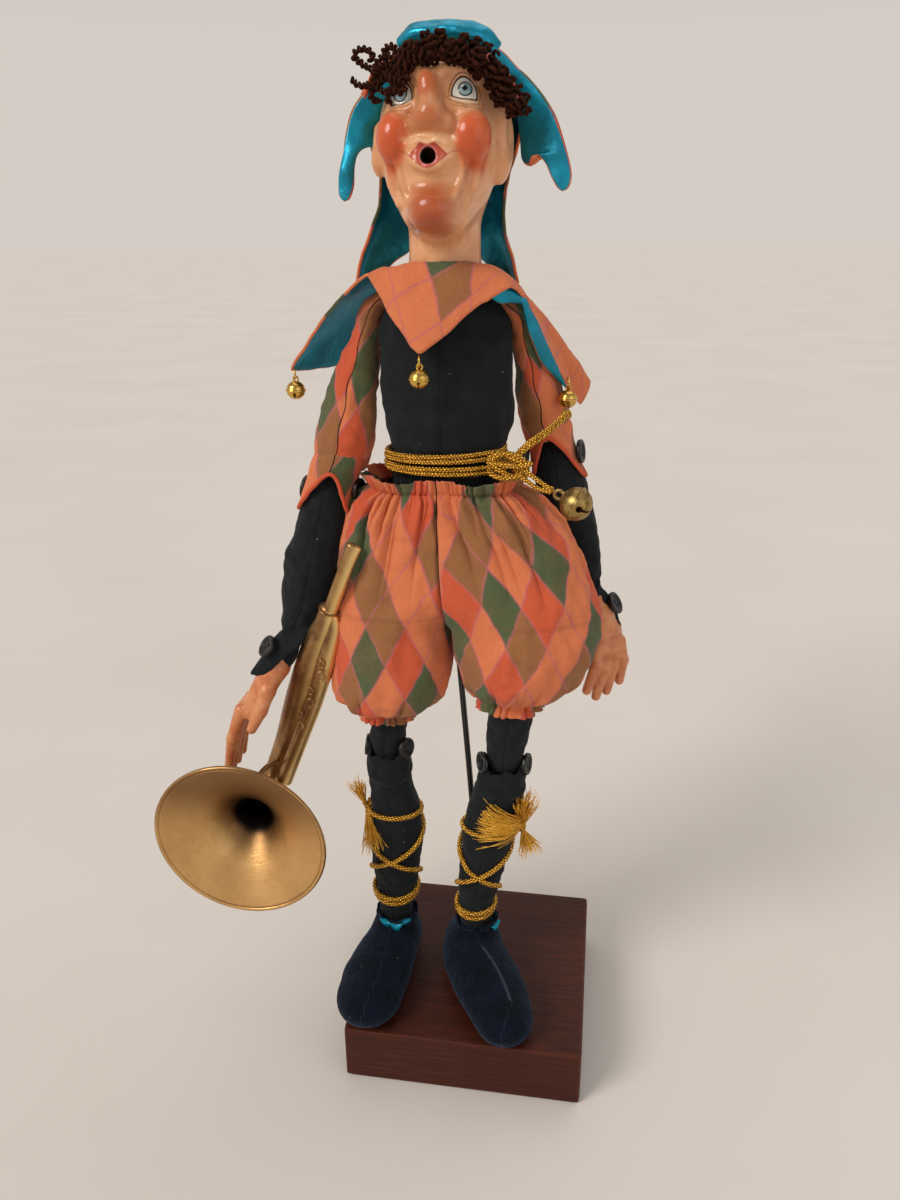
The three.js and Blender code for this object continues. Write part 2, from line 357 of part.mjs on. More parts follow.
// ---------- hood ----------
// Rings up the hood: [z, centre x, centre y, half width, half depth, how far round to the front each edge comes, in degrees].
const HOOD = [
  [327.6, -15.5, 11, 29, 15.5, 82], [333, -15, 10.5, 28, 16, 84], [341, -13.8, 9.8, 24.8, 18.4, 84], [351, -12.8, 9.2, 24.6, 20.6, 80], [362, -12.2, 6.4, 27.6, 23, 79],
  [373, -12.2, 4, 28.4, 25.4, 92], [383, -12, 3, 26, 24.6, 112], [390.5, -11.6, 2, 21, 20.4, 128], [395.4, -11.2, 1, 13, 13.4, 140], [397.4, -11, 0.6, 3, 3.2, 146],
];
const hoodAt = (u, v) => {
  const s = along(HOOD, v), a = ((u * 2 - 1) * s[5] * Math.PI) / 180;
  const fold = 1 + 0.035 * Math.sin(5 * a + 0.8) * (1 - v);
  return [s[1] + s[3] * fold * Math.sin(a), s[2] + s[4] * fold * Math.cos(a), s[0] + 7 * Math.exp(-((a / 0.8) ** 2)) * (1 - v) ** 6];
};
// Side points of the hood: a tapering curled strip, lining to the front.
const hoodPoint = (line, w0) => clothSheet((u, v) => {
  const p = along(line, v), w = w0 * (1 - 0.82 * v ** 1.4), b = u - 0.5;
  return [p[0] + p[3] * w * b * 2, p[1] + 3.2 * (4 * b * b - 0.6) * (1 - v), p[2] + p[4] * w * b * 2];
}, 3, 4, CLOTH, false);
const brim = cord([[-30, -2.2, 386.3], [-25.6, -7, 395.4], [-15, -8.6, 398.8], [-5, -8.4, 399.6], [3, -6, 397], [6.4, -2.5, 390.4]], 3.2, 7, 6);
const hood = union([clothSheet(hoodAt, 12, 9, CLOTH, false),
  hoodPoint([[10.5, 7, 384.5, 0.7, 0.7], [15.5, 5.5, 378, 0.8, 0.6], [20, 2, 370, 0.95, 0.3], [25, -2, 360.5, 1, 0.15], [28.4, -5, 351.5, 1, 0.1]], 7.6),
  hoodPoint([[-34.5, 7, 382.5, -0.7, 0.7], [-38.6, 4.5, 376, -0.85, 0.5], [-41.5, 1, 369, -0.95, 0.2], [-43.6, -4, 359, -1, 0.1], [-44.6, -8, 349.5, -1, 0.1]], 6.6), brim]);
add("hood", hood, M.teal);

// ---------- hair ----------
// Curls of yarn massed round the forehead, under the hood's brim, with a tuft that stands out at the right.
const HAIR = [[-44, -14, 390, 2.4, 2.2], [-41, -13.6, 388.6, 3.8, 3], [-36.6, -13.4, 383.4, 4.6, 3.6], [-30.6, -17.4, 384.6, 5, 3.6], [-22.4, -21.2, 388, 5, 3.4], [-13.5, -23, 389.8, 4.8, 3.2], [-4.6, -22.4, 389.2, 5, 3.4], [3.4, -19.6, 386.2, 5, 3.6], [9.6, -15.6, 380, 5, 3.8], [13.6, -13.2, 372.8, 4.6, 3.6], [18, -12.8, 369, 3, 2.6]];
const locks = (t, a) => 1 + 0.13 * Math.sin(t * 62 + 2.4 * Math.sin(a));
add("hair", stuffed(HAIR, { around: 7, rings: 28, bump: locks }).subtract(ellipsoid(HEAD.centre, HEAD.half.map((v) => v + 1.6), { around: 16, rings: 12, rot: [HEAD.tilt, 0, 0] })), M.hair);

// ---------- belt ----------
const belly = (z, g) => Array.from({ length: 10 }, (_, i) => {
  const a = (2 * Math.PI * i) / 10;
  return [-11.8 + (20.6 + g) * Math.cos(a), (13.6 + g) * Math.sin(a), z];
});
const KNOT = [13.4, -15.4, 262.4];
const TAIL_A = [[15, -17, 262], [19, -19.5, 259.5], [24, -21.6, 256.6], [28.6, -22.8, 255]];
const TAIL_B = [[15, -15.6, 264.6], [19.6, -14.5, 269.4], [26, -9, 273.4], [30.6, -2, 276.6], [32.4, 2.4, 277.8]];
const beside = (line, d) => line.map((p, i) => [p[0] + d[0], p[1] + d[1], p[2] + d[2] * (i / 2)]);
add("belt_cord", union([
  cord(belly(262.6, CORD_R + 1.2), CORD_R, 13, 4, true), cord(belly(259.8, CORD_R + 1.4), CORD_R, 13, 4, true), ellipsoid(KNOT, [4.8, 3.2, 3.8], { around: 7, rings: 5 }),
  cord([[-5, -15.2, 262.6], [2, -16.2, 262.8], [10.4, -15.6, 262.8]], CORD_R, 3, 4), cord([[-5, -15.4, 259.8], [2, -16.4, 260], [10.4, -15.6, 261.4]], CORD_R, 3, 4),
  cord([[KNOT[0] - 5, KNOT[1] - 1, KNOT[2] + 1], [KNOT[0] - 1, KNOT[1] - 3.4, KNOT[2] + 3.4], [KNOT[0] + 4, KNOT[1] - 2.4, KNOT[2] + 1], [KNOT[0] + 2, KNOT[1] - 2.6, KNOT[2] - 3], [KNOT[0] - 3, KNOT[1] - 2.4, KNOT[2] - 2.4]], 1.2, 8, 5, true),
  cord(beside(TAIL_A, [0, 0, -0.3]), CORD_R, 4, 4), cord(beside(TAIL_A, [0.8, 0.3, 0.9]), CORD_R, 4, 4), cord(TAIL_B, CORD_R, 5, 4), cord(beside(TAIL_B, [0.3, -0.2, -0.55]), CORD_R, 5, 4),
  ellipsoid([32.4, 2.6, 277.2], [2.3, 2.3, 2.3], { around: 7, rings: 5 }), ellipsoid([28.6, -22.6, 255.4], [1.6, 1.5, 1.6], { around: 7, rings: 4 }),
]), M.gold);

// ---------- bells ----------
// A round jingle bell with a raised waist and a loop on top, and the jump ring that the loop hangs in.
function jingle(c, r, axis, seg = 9) {
  const p = [[0, -r], [0.68 * r, -0.74 * r], [1.03 * r, -0.12 * r], [1.03 * r, 0.12 * r], [0.68 * r, 0.74 * r], [0, r]];
  const up = V(axis).normalize(), top = V(c).addScaledVector(up, r * 1.18), q = new THREE.Quaternion().setFromUnitVectors(new THREE.Vector3(0, 1, 0), up);
  return turned(p, c, axis, seg).add(toSolid(new THREE.TorusGeometry(r * 0.27, r * 0.1, 4, 7).applyQuaternion(q).translate(top.x, top.y, top.z)));
}
const ring = (c, r, w, normal) => toSolid(new THREE.TorusGeometry(r, w, 4, 8).applyQuaternion(new THREE.Quaternion().setFromUnitVectors(new THREE.Vector3(0, 0, 1), V(normal).normalize())).translate(...c));
const BELLS = { front: [-16.2, -26.8, 293.2], right: [-65.6, -4.8, 283.2], left: [34.6, 12, 272.4] };
for (const [k, c] of Object.entries(BELLS)) {
  add("bell_" + k, jingle(c, SMALL_BELL, [0, 0, 1]), M.bell);
  add("bell_ring_" + k, ring([c[0], c[1], c[2] + SMALL_BELL * 1.18 + 1.75], 1.75, 0.28, [1, 0.25, 0]), M.bell);
}
add("belt_bell", jingle([37.9, -24.9, 251.2], BIG_BELL, [-0.9, 0.15, 0.42], 12), M.bell);

// ---------- horn ----------
// Flared bell, then a doubled tube that comes round behind it and rises to a slim stem and mouthpiece.
{
  const ax = V(HORN.axis).normalize(), at = (d) => V(HORN.bell).addScaledVector(ax, -d).toArray();
  const flare = (t) => HORN.throat + (HORN.rim - HORN.throat) * (1 - t) ** 2.6 * (1 - 0.18 * t); // t: 0 at the rim, 1 at the throat
  const n = 5, outer = [], inner = [];
  for (let i = 0; i <= n; i++) {
    const t = (i / n) ** 0.8;
    outer.push([flare(t) + (i ? 0 : 0.4), HORN.depth * (1 - t)]);
    inner.push([Math.max(flare(t) - HORN.wall, 4.1), HORN.depth * (1 - t) + (i ? 0.7 : 0.5)]);
  }
  const start = at(HORN.depth);
  const bell = turned([[0, -5], [HORN.throat, -5], ...outer.slice().reverse(), ...inner, [4.1, -3.5], [0, -3.5]], start, ax.toArray(), 16);
  const TUBE = [[-93.9, -2.6, 107.2, 4.6, 4.6], [-92.6, 4, 110.5, 5, 5], [-88.6, 7.4, 118.4, 5.2, 5], [-82.6, 5.6, 132, 5.2, 5], [-76.4, 1.4, 150, 5, 4.8], [-66.8, -7.4, 177, 4.6, 4.6], [-58.9, -15, 196, 3.8, 4], [-56, -17.8, 203.2, 3.4, 3.4]];
  const STEM = [[-55.7, -17.6, 202.4, 2.8, 2.8], [-51.6, -20.2, 213, 2.7, 2.5], [-47.6, -21.6, 223.4, 2.4, 1.9], [-45, -22, 230.6, 2.2, 1.4]];
  const TWIN = [[-88.8, 2.6, 112, 3, 3], [-77.4, -0.4, 138, 3, 3.2], [-69, -4.6, 158, 2.9, 3.2], [-61.4, -11.4, 181, 2.6, 2.8], [-57, -16, 194, 1.6, 2]];
  add("horn", union([bell, stuffed(TUBE, { around: 8, rings: 9, depthAxis: [0, 1, 0.25] }).subtract(turned([[0, -3.6], [HORN.throat - 0.3, -3.6], [HORN.throat - 0.3, 4], [0, 4]], start, ax.toArray(), 16)), stuffed(STEM, { around: 6, rings: 5 }), stuffed(TWIN, { around: 6, rings: 6 })]), M.brass);
}

// ---------- leg lacings ----------
function lacing(line, z1, z3, out, lean) {
  const section = (z) => {
    let best = line[0];
    for (let i = 0; i <= 200; i++) {
      const s = along(line, i / 200);
      if (Math.abs(s[2] - z) < Math.abs(best[2] - z)) best = s;
    }
    return best;
  };
  const on = (z, a) => {
    const s = section(z), g = LACE_R + 1;
    return [s[0] + (s[3] + g) * Math.cos(a), s[1] + (s[4] + g) * Math.sin(a), z];
  };
  const loop = (z, dz, a0) => cord(Array.from({ length: 9 }, (_, i) => { const a = (2 * Math.PI * i) / 9; return on(z + dz * Math.cos(a - a0), a); }), LACE_R, 11, 4, true);
  // two strands leave the top ring at the back, cross in front half way down and meet the bottom ring at the back
  const strand = (turn) => cord(Array.from({ length: 11 }, (_, i) => on(z1 + ((z3 - z1) * i) / 10, Math.PI / 2 + (turn * 2 * Math.PI * i) / 10)), LACE_R, 11, 4);
  const front = -Math.PI / 2, outer = out > 0 ? 0 : Math.PI, k = on(z1 + 1, outer);
  return union([
    loop(z1, lean, front), strand(1), strand(-1), loop(z3, -2.2, front),
    ellipsoid([k[0] + out * 0.9, k[1] - 0.8, k[2]], [2.1, 2.1, 2.4], { around: 6, rings: 4 }),
    stuffed([[k[0] + out * 1.2, k[1] - 1, k[2] + 1, 1.4, 1.4], [k[0] + out * 2.6, k[1] - 1.4, k[2] + 6, 2.2, 2], [k[0] + out * 3.6, k[1] - 1.6, k[2] + 11, 2.6, 2]], { around: 5, rings: 4 }),
    stuffed([[k[0] + out * 1.2, k[1] - 1.4, k[2] - 1, 1.4, 1.4], [k[0] + out * 1.8, k[1] - 2.8, k[2] - 7, 2.4, 2], [k[0] + out * 1.4, k[1] - 3.4, k[2] - 13, 2.9, 2]], { around: 5, rings: 4 }),
  ]);
}
add("lacing_right", lacing(CALF_R, 104.5, 61.5, -1, 1.2), M.gold);
add("lacing_left", lacing(CALF_L, 99.5, 57, 1, 1.6), M.gold);

// ---------- the scene graph ----------
for (const [name, { solid, material }] of Object.entries(solids)) {
  const whole = solid.decompose().sort((a, b) => b.volume() - a.volume())[0];
  const mesh = new THREE.Mesh(toGeometry(whole), material);
  mesh.name = name;
  group.add(mesh);
}

export default group;
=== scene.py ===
import math

import bpy
import numpy as np
from mathutils import Matrix


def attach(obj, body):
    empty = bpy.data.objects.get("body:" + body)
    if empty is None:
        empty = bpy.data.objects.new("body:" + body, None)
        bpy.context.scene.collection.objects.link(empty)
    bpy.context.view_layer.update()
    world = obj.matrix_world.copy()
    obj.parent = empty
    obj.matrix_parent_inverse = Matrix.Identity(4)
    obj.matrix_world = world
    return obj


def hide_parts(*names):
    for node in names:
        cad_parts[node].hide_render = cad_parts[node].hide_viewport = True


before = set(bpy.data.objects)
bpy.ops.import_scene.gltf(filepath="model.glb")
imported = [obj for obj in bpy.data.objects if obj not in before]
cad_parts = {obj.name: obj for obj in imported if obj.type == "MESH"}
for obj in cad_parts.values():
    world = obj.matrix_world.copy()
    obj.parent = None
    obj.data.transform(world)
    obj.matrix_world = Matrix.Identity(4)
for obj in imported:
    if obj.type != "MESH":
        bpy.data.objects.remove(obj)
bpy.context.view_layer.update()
MM = 0.001
TAU = 2 * math.pi

# ---------- camera ----------
yaw, pitch, roll = math.radians(-9.23), math.radians(21.33), math.radians(-0.52)
fwd = np.array([math.sin(yaw) * math.cos(pitch), math.cos(yaw) * math.cos(pitch), -math.sin(pitch)])
right0 = np.array([math.cos(yaw), -math.sin(yaw), 0.0])
up0 = np.cross(right0, fwd)
right = right0 * math.cos(roll) + up0 * math.sin(roll)
up = -right0 * math.sin(roll) + up0 * math.cos(roll)
cam_data = bpy.data.cameras.new("camera")
cam_data.sensor_width = 36
cam_data.sensor_fit = "AUTO"
cam_data.lens = 28.2
cam_data.clip_start = 0.01
cam = bpy.data.objects.new("camera", cam_data)
cam.matrix_world = Matrix([[right[i], up[i], -fwd[i], (0.045, -0.343, 0.339)[i]] for i in range(3)] + [[0, 0, 0, 1]])
bpy.context.scene.collection.objects.link(cam)
bpy.context.scene.camera = cam
bpy.context.scene.view_settings.view_transform = "Standard"


# ---------- arrays and curves ----------
def A(x):
    return np.asarray(x, float)


def unit(v):
    v = A(v)
    return v / np.maximum(np.linalg.norm(v, axis=-1, keepdims=True), 1e-12)


def ease(P, t):
    """Catmull-Rom through the rows of P; t runs from 0 to 1."""
    P = A(P)
    n = len(P) - 1
    x = np.clip(np.atleast_1d(A(t)), 0, 1) * n
    i = np.minimum(np.floor(x).astype(int), n - 1)
    f = (x - i)[:, None]
    a, b, c, d = (P[np.clip(i + k, 0, n)] for k in (-1, 0, 1, 2))
    return 0.5 * (2 * b + (c - a) * f + (2 * a - 5 * b + 4 * c - d) * f**2 + (3 * b - a - 3 * c + d) * f**3)


def step01(a, b, x):
    t = np.clip((A(x) - a) / (b - a), 0, 1)
    return t * t * (3 - 2 * t)


def bell(x, w):
    return np.exp(-((A(x) / w) ** 2))


class Waves:
    """Smooth seeded noise in space, about -1 to 1; scale is the size of its lumps."""

    def __init__(self, seed, scale, n=20):
        r = np.random.RandomState(seed)
        self.k = unit(r.normal(size=(n, 3))) * (TAU / scale) * r.uniform(0.55, 1.5, (n, 1))
        self.p = r.uniform(0, TAU, n)

    def __call__(self, P):
        return np.sin(A(P) @ self.k.T + self.p).sum(-1) / math.sqrt(len(self.p) * 0.9)


def arc(P):
    return np.r_[0, np.cumsum(np.linalg.norm(np.diff(A(P), axis=0), axis=1))]


def even(P, gap, closed=False):
    """A smooth line through the points, sampled at an even spacing."""
    P = A(P)
    if closed:
        n = len(P)
        Q = np.vstack([P[-2:], P, P[:3]])
        C = ease(Q, np.linspace(2 / (n + 4), (n + 2) / (n + 4), 40 * n))
    else:
        C = ease(P, np.linspace(0, 1, 40 * len(P)))
    L = arc(C)
    m = max(int(L[-1] / gap), 3) + 1
    return np.stack([np.interp(np.linspace(0, L[-1], m), L, C[:, k]) for k in range(C.shape[1])], 1)


def carried(C, closed=False):
    """Tangents and two cross directions along a line, turned as little as possible."""
    T = unit(np.gradient(C, axis=0))
    if closed:
        T[0] = T[-1] = unit(C[1] - C[-2])
    a = np.array([0, 0, 1.0]) if abs(T[0][2]) < 0.9 else np.array([1.0, 0, 0])
    X = np.zeros_like(C)
    x = unit(a - T[0] * (a @ T[0]))
    for i, t in enumerate(T):
        x = unit(x - t * (x @ t))
        X[i] = x
    if closed:
        end = X[-1]
        y = np.cross(T[-1], end)
        w = math.atan2(X[0] @ y, X[0] @ end)
        ang = w * np.linspace(0, 1, len(C))
        Y = np.cross(T, X)
        X = X * np.cos(ang)[:, None] + Y * np.sin(ang)[:, None]
    return T, X, np.cross(T, X)


# ---------- meshes ----------
def grid_faces(nu, nv, wrap_u=False, wrap_v=False, at=0):
    """Quads on points laid out [u, v]; nu, nv count the points."""
    i, j = np.meshgrid(np.arange(nu if wrap_u else nu - 1), np.arange(nv if wrap_v else nv - 1), indexing="ij")
    i, j = i.ravel(), j.ravel()
    i2, j2 = (i + 1) % nu, (j + 1) % nv
    return at + np.stack([i * nv + j, i2 * nv + j, i2 * nv + j2, i * nv + j2], 1)


def normals(V, F):
    N = np.zeros_like(V)
    q = V[F]
    n = np.cross(q[:, 2] - q[:, 0], q[:, -1] - q[:, 1])
    for k in range(F.shape[1]):
        np.add.at(N, F[:, k], n)
    return unit(N)


def solidify(V, F, thick, inner=1, rim=0):
    """Closes an open sheet: a second face thick behind the first and a rounded rim. Returns points, faces, material indices."""
    n = len(V)
    N = normals(V, F)
    k = F.shape[1]
    e = np.concatenate([F[:, [a, (a + 1) % k]] for a in range(k)])
    key = e[:, 0].astype(np.int64) * n + e[:, 1]
    back = e[:, 1].astype(np.int64) * n + e[:, 0]
    edge = e[~np.isin(key, back)]
    out = np.zeros_like(V)
    d = np.cross(V[edge[:, 1]] - V[edge[:, 0]], N[edge[:, 0]])
    np.add.at(out, edge[:, 0], d)
    np.add.at(out, edge[:, 1], d)
    ring = np.unique(edge)
    m = np.full(n, -1)
    m[ring] = 2 * n + np.arange(len(ring))
    mid = V[ring] - N[ring] * thick / 2 + unit(out[ring]) * thick * 0.5
    a, b = edge[:, 0], edge[:, 1]
    R1 = np.stack([b, a, m[a], m[b]], 1)
    R2 = np.stack([m[b], m[a], a + n, b + n], 1)
    W = np.vstack([V, V - N * thick, mid])
    src = np.r_[np.arange(n), np.arange(n), ring]
    faces = [F, F[:, ::-1] + n, R1, R2]
    mats = np.r_[np.zeros(len(F)), np.full(len(F), inner), np.full(len(R1) + len(R2), rim)].astype(int)
    return W, faces, mats, src


class Part:
    """Collects pieces of mesh into one object. cloth is a point on the flat cloth (or another surface coordinate), per vertex or per face corner."""

    def __init__(self):
        self.V, self.F, self.M, self.C, self.n = [], [], [], [], 0

    def add(self, V, F, mat=0, cloth=None):
        V = A(V).reshape(-1, 3)
        F = F if isinstance(F, list) else [F]
        total = sum(len(f) for f in F)
        self.V.append(V)
        self.M.append(np.full(total, mat) if np.isscalar(mat) else A(mat).astype(int))
        c = V if cloth is None else A(cloth)
        k = 0
        for f in F:
            if c.ndim == 2:
                self.C.append(c[f].reshape(-1, 3))
            else:
                self.C.append(c[k : k + len(f)].reshape(-1, 3))
            self.F.append(f + self.n)
            k += len(f)
        self.n += len(V)
        return self

    def make(self, name, mats, slot, nodes=(), smooth=True):
        V = np.concatenate(self.V)
        me = bpy.data.meshes.new(name)
        sizes = np.concatenate([np.full(len(f), f.shape[1]) for f in self.F])
        loops = np.concatenate([f.ravel() for f in self.F]).astype(np.int32)
        me.vertices.add(len(V))
        me.vertices.foreach_set("co", (V * MM).ravel())
        me.loops.add(len(loops))
        me.loops.foreach_set("vertex_index", loops)
        me.polygons.add(len(sizes))
        me.polygons.foreach_set("loop_start", np.r_[0, np.cumsum(sizes)[:-1]].astype(np.int32))
        me.polygons.foreach_set("material_index", np.concatenate(self.M).astype(np.int32))
        me.polygons.foreach_set("use_smooth", np.full(len(sizes), smooth))
        me.update(calc_edges=True)
        a = me.attributes.new("cloth", "FLOAT_VECTOR", "CORNER")
        a.data.foreach_set("vector", np.concatenate(self.C).astype(np.float32).ravel())
        for m in mats:
            me.materials.append(m)
        me.validate()
        obj = bpy.data.objects.new(name, me)
        bpy.context.scene.collection.objects.link(obj)
        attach(obj, "root")
        if nodes:
            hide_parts(*([nodes] if isinstance(nodes, str) else nodes))
        return obj


def loft(part, stations, around=56, gap=1.2, depth=(0, 1, 0), shape=None, grow=0.0, mat=0, front=0.75, wide=None, ends=(1, 1), pattern=None):
    """A stuffed form through stations [x, y, z, half width, half depth]. shape(angle, along, points) swells it in mm."""
    t = np.linspace(0, 1, 500)
    C = ease(stations, t)
    L = arc(C[:, :3])
    m = max(int(L[-1] / gap), 6) + 1
    R = ease(stations, np.interp(np.linspace(0, L[-1], m), L, t))
    c, r = R[:, :3], np.maximum(R[:, 3:5], 0.2) + grow
    T = unit(np.gradient(c, axis=0))
    S = unit(np.cross(T, A(depth)))
    D = np.cross(S, T)
    s = np.linspace(0, L[-1], m)
    k = 6
    ph = np.linspace(0, math.pi / 2 * 0.97, k + 1)[1:]
    h0, h1 = 0.55 * min(r[0]) * ends[0], 0.55 * min(r[-1]) * ends[1]
    c = np.vstack([(c[0] - T[0] * h0 * np.sin(ph)[:, None])[::-1], c, c[-1] + T[-1] * h1 * np.sin(ph)[:, None]])
    r = np.vstack([(r[0] * np.cos(ph)[:, None])[::-1], r, r[-1] * np.cos(ph)[:, None]])
    S = np.vstack([np.repeat(S[:1], k, 0), S, np.repeat(S[-1:], k, 0)])
    D = np.vstack([np.repeat(D[:1], k, 0), D, np.repeat(D[-1:], k, 0)])
    s = np.r_[(-h0 * np.sin(ph))[::-1], s, L[-1] + h1 * np.sin(ph)]
    u = np.arange(around) / around
    a = TAU * u
    P = c[:, None] + S[:, None] * (r[:, 0:1] * np.cos(a))[..., None] + D[:, None] * (r[:, 1:2] * np.sin(a))[..., None]
    if shape:
        du = np.roll(P, -1, 1) - np.roll(P, 1, 1)
        dv = np.gradient(P, axis=0)
        N = unit(np.cross(du, dv))
        N *= np.sign(((P - c[:, None]) * N).sum(-1, keepdims=True))
        fade = np.minimum(r.min(1) / 2.5, 1)[:, None]
        P = P + N * (shape(np.broadcast_to(u, P.shape[:2]), np.broadcast_to(s[:, None], P.shape[:2]), P) * fade)[..., None]
    n = len(c)
    V = np.vstack([P.reshape(-1, 3), c[0] - T[0] * 0.02, c[-1] + T[-1] * 0.02])
    F = grid_faces(n, around, False, True)
    flip = np.cross(P[n // 2, 1] - P[n // 2, 0], P[n // 2 + 1, 0] - P[n // 2, 0]) @ (P[n // 2, 0] - c[n // 2]) > 0
    j = np.arange(around)
    j2 = (j + 1) % around
    cap0 = np.stack([np.full(around, n * around), j, j2], 1)
    cap1 = np.stack([np.full(around, n * around + 1), (n - 1) * around + j2, (n - 1) * around + j], 1)
    if flip:
        F = F[:, ::-1]
    else:
        cap0, cap1 = cap0[:, ::-1], cap1[:, ::-1]
    girth = TAU * np.sqrt((r**2).sum(1) / 2)
    if wide:
        girth = np.full(n, wide)
    uu = (u[None] - front + 0.5) % 1 - 0.5

    def corner(faces):
        i, j = faces // around, faces % around
        i = np.minimum(i, n - 1)
        x = uu[0][j]
        x = np.where(x - x.min(1, keepdims=True) > 0.5, x - 1, x)
        q = np.stack([x * girth[i], s[i], np.zeros(x.shape)], -1)
        if pattern:
            q = pattern(q, x)
        return q

    part.add(V, [F, cap0, cap1], mat, np.concatenate([corner(F)] + [np.pad(corner(f), ((0, 0), (0, 0), (0, 0))) for f in ()]) if False else None if pattern is None and False else _stack(corner(F), corner(cap0), corner(cap1)))
    return part


class _Corners(list):
    ndim = 3


def _stack(*a):
    return _Corners(a)


def _add(self, V, F, mat=0, cloth=None):
    V = A(V).reshape(-1, 3)
    F = F if isinstance(F, list) else [F]
    total = sum(len(f) for f in F)
    self.V.append(V)
    self.M.append(np.full(total, mat) if np.isscalar(mat) else A(mat).astype(int))
    for k, f in enumerate(F):
        c = cloth[k] if isinstance(cloth, _Corners) else (V if cloth is None else A(cloth))[f]
        self.C.append(c.reshape(-1, 3))
        self.F.append(f + self.n)
    self.n += len(V)
    return self


Part.add = _add


def sweep(part, C, r, sides=8, mat=0, closed=False, shape=None):
    """A round tube along a line; r may change along it. shape(angle, along) swells it. cloth is (along, angle, 0)."""
    C = A(C)
    T, X, Y = carried(C, closed)
    n = len(C)
    r = np.broadcast_to(A(r), (n,))
    a = TAU * np.arange(sides) / sides
    s = arc(C)
    rr = np.repeat(r[:, None], sides, 1)
    if shape:
        rr = rr + shape(np.broadcast_to(a, rr.shape), np.broadcast_to(s[:, None], rr.shape))
    P = C[:, None] + X[:, None] * (rr * np.cos(a))[..., None] + Y[:, None] * (rr * np.sin(a))[..., None]
    cl = np.stack([np.broadcast_to(s[:, None], rr.shape), np.broadcast_to(a, rr.shape), np.zeros(rr.shape)], -1)
    if closed:
        P, cl = P[:-1], cl[:-1]
        part.add(P.reshape(-1, 3), grid_faces(n - 1, sides, True, True)[:, ::-1], mat, cl.reshape(-1, 3))
        return part
    V = np.vstack([P.reshape(-1, 3), C[0] - T[0] * r[0] * 0.5, C[-1] + T[-1] * r[-1] * 0.5])
    j = np.arange(sides)
    j2 = (j + 1) % sides
    F = [grid_faces(n, sides, False, True)[:, ::-1], np.stack([np.full(sides, n * sides), j2, j], 1), np.stack([np.full(sides, n * sides + 1), (n - 1) * sides + j, (n - 1) * sides + j2], 1)]
    part.add(V, F, mat, np.vstack([cl.reshape(-1, 3), cl[0, 0], cl[-1, 0]]))
    return part


def rope(part, points, r, pitch=2.6, strands=3, sides=6, gap=0.5, closed=False, mat=0, turn=0.0):
    """A twisted cord: strands wound round a smooth line."""
    C = even(points, gap, closed)
    T, X, Y = carried(C, closed)
    s = arc(C)
    turns = s[-1] / pitch
    if closed:
        turns = round(turns)
    w = TAU * turns * s / s[-1]
    for k in range(strands):
        a = w + TAU * k / strands + turn
        Q = C + (X * np.cos(a)[:, None] + Y * np.sin(a)[:, None]) * r * 0.56
        if closed:
            Q[-1] = Q[0]
        sweep(part, Q, r * 0.5, sides, mat, closed)
    return part


def tassel(part, at, way, length, count, seed, spread=0.5, r=0.13, mat=0, droop=0.0):
    """Frayed threads that leave a knot and flare."""
    R = np.random.RandomState(seed)
    way = unit(way)
    a = unit(np.cross(way, [0.3, 1, 0.2]))
    b = np.cross(way, a)
    for _ in range(count):
        q, w = R.uniform(0, TAU), R.uniform(0, 1) ** 0.6
        side = a * math.cos(q) + b * math.sin(q)
        L = length * R.uniform(0.7, 1.08)
        bend = unit(R.normal(size=3)) * 0.16
        t = np.linspace(0, 1, 8)[:, None]
        P = A(at) + side * 0.7 * w + way * L * t + side * (spread * L * w) * t**1.5 + bend * L * np.sin(t * 3.0) * 0.5 + np.array([0, 0, -droop * L]) * t**2
        sweep(part, P, np.linspace(r, r * 0.7, 8), 4, mat)
    return part


# ---------- solid shapes from distance fields ----------
def ell(P, c, r):
    q, r = P - A(c), A(r)
    k0 = np.linalg.norm(q / r, axis=-1)
    k1 = np.linalg.norm(q / r**2, axis=-1)
    return k0 * (k0 - 1) / np.maximum(k1, 1e-9)


def cap(P, a, b, ra, rb):
    a, b = A(a), A(b)
    d = b - a
    t = np.clip(((P - a) @ d) / (d @ d), 0, 1)
    return np.linalg.norm(P - (a + t[..., None] * d), axis=-1) - (ra + (rb - ra) * t)


def smin(a, b, k):
    h = np.maximum(k - np.abs(a - b), 0) / k
    return np.minimum(a, b) - h * h * k / 4


def smax(a, b, k):
    return -smin(-a, -b, k)


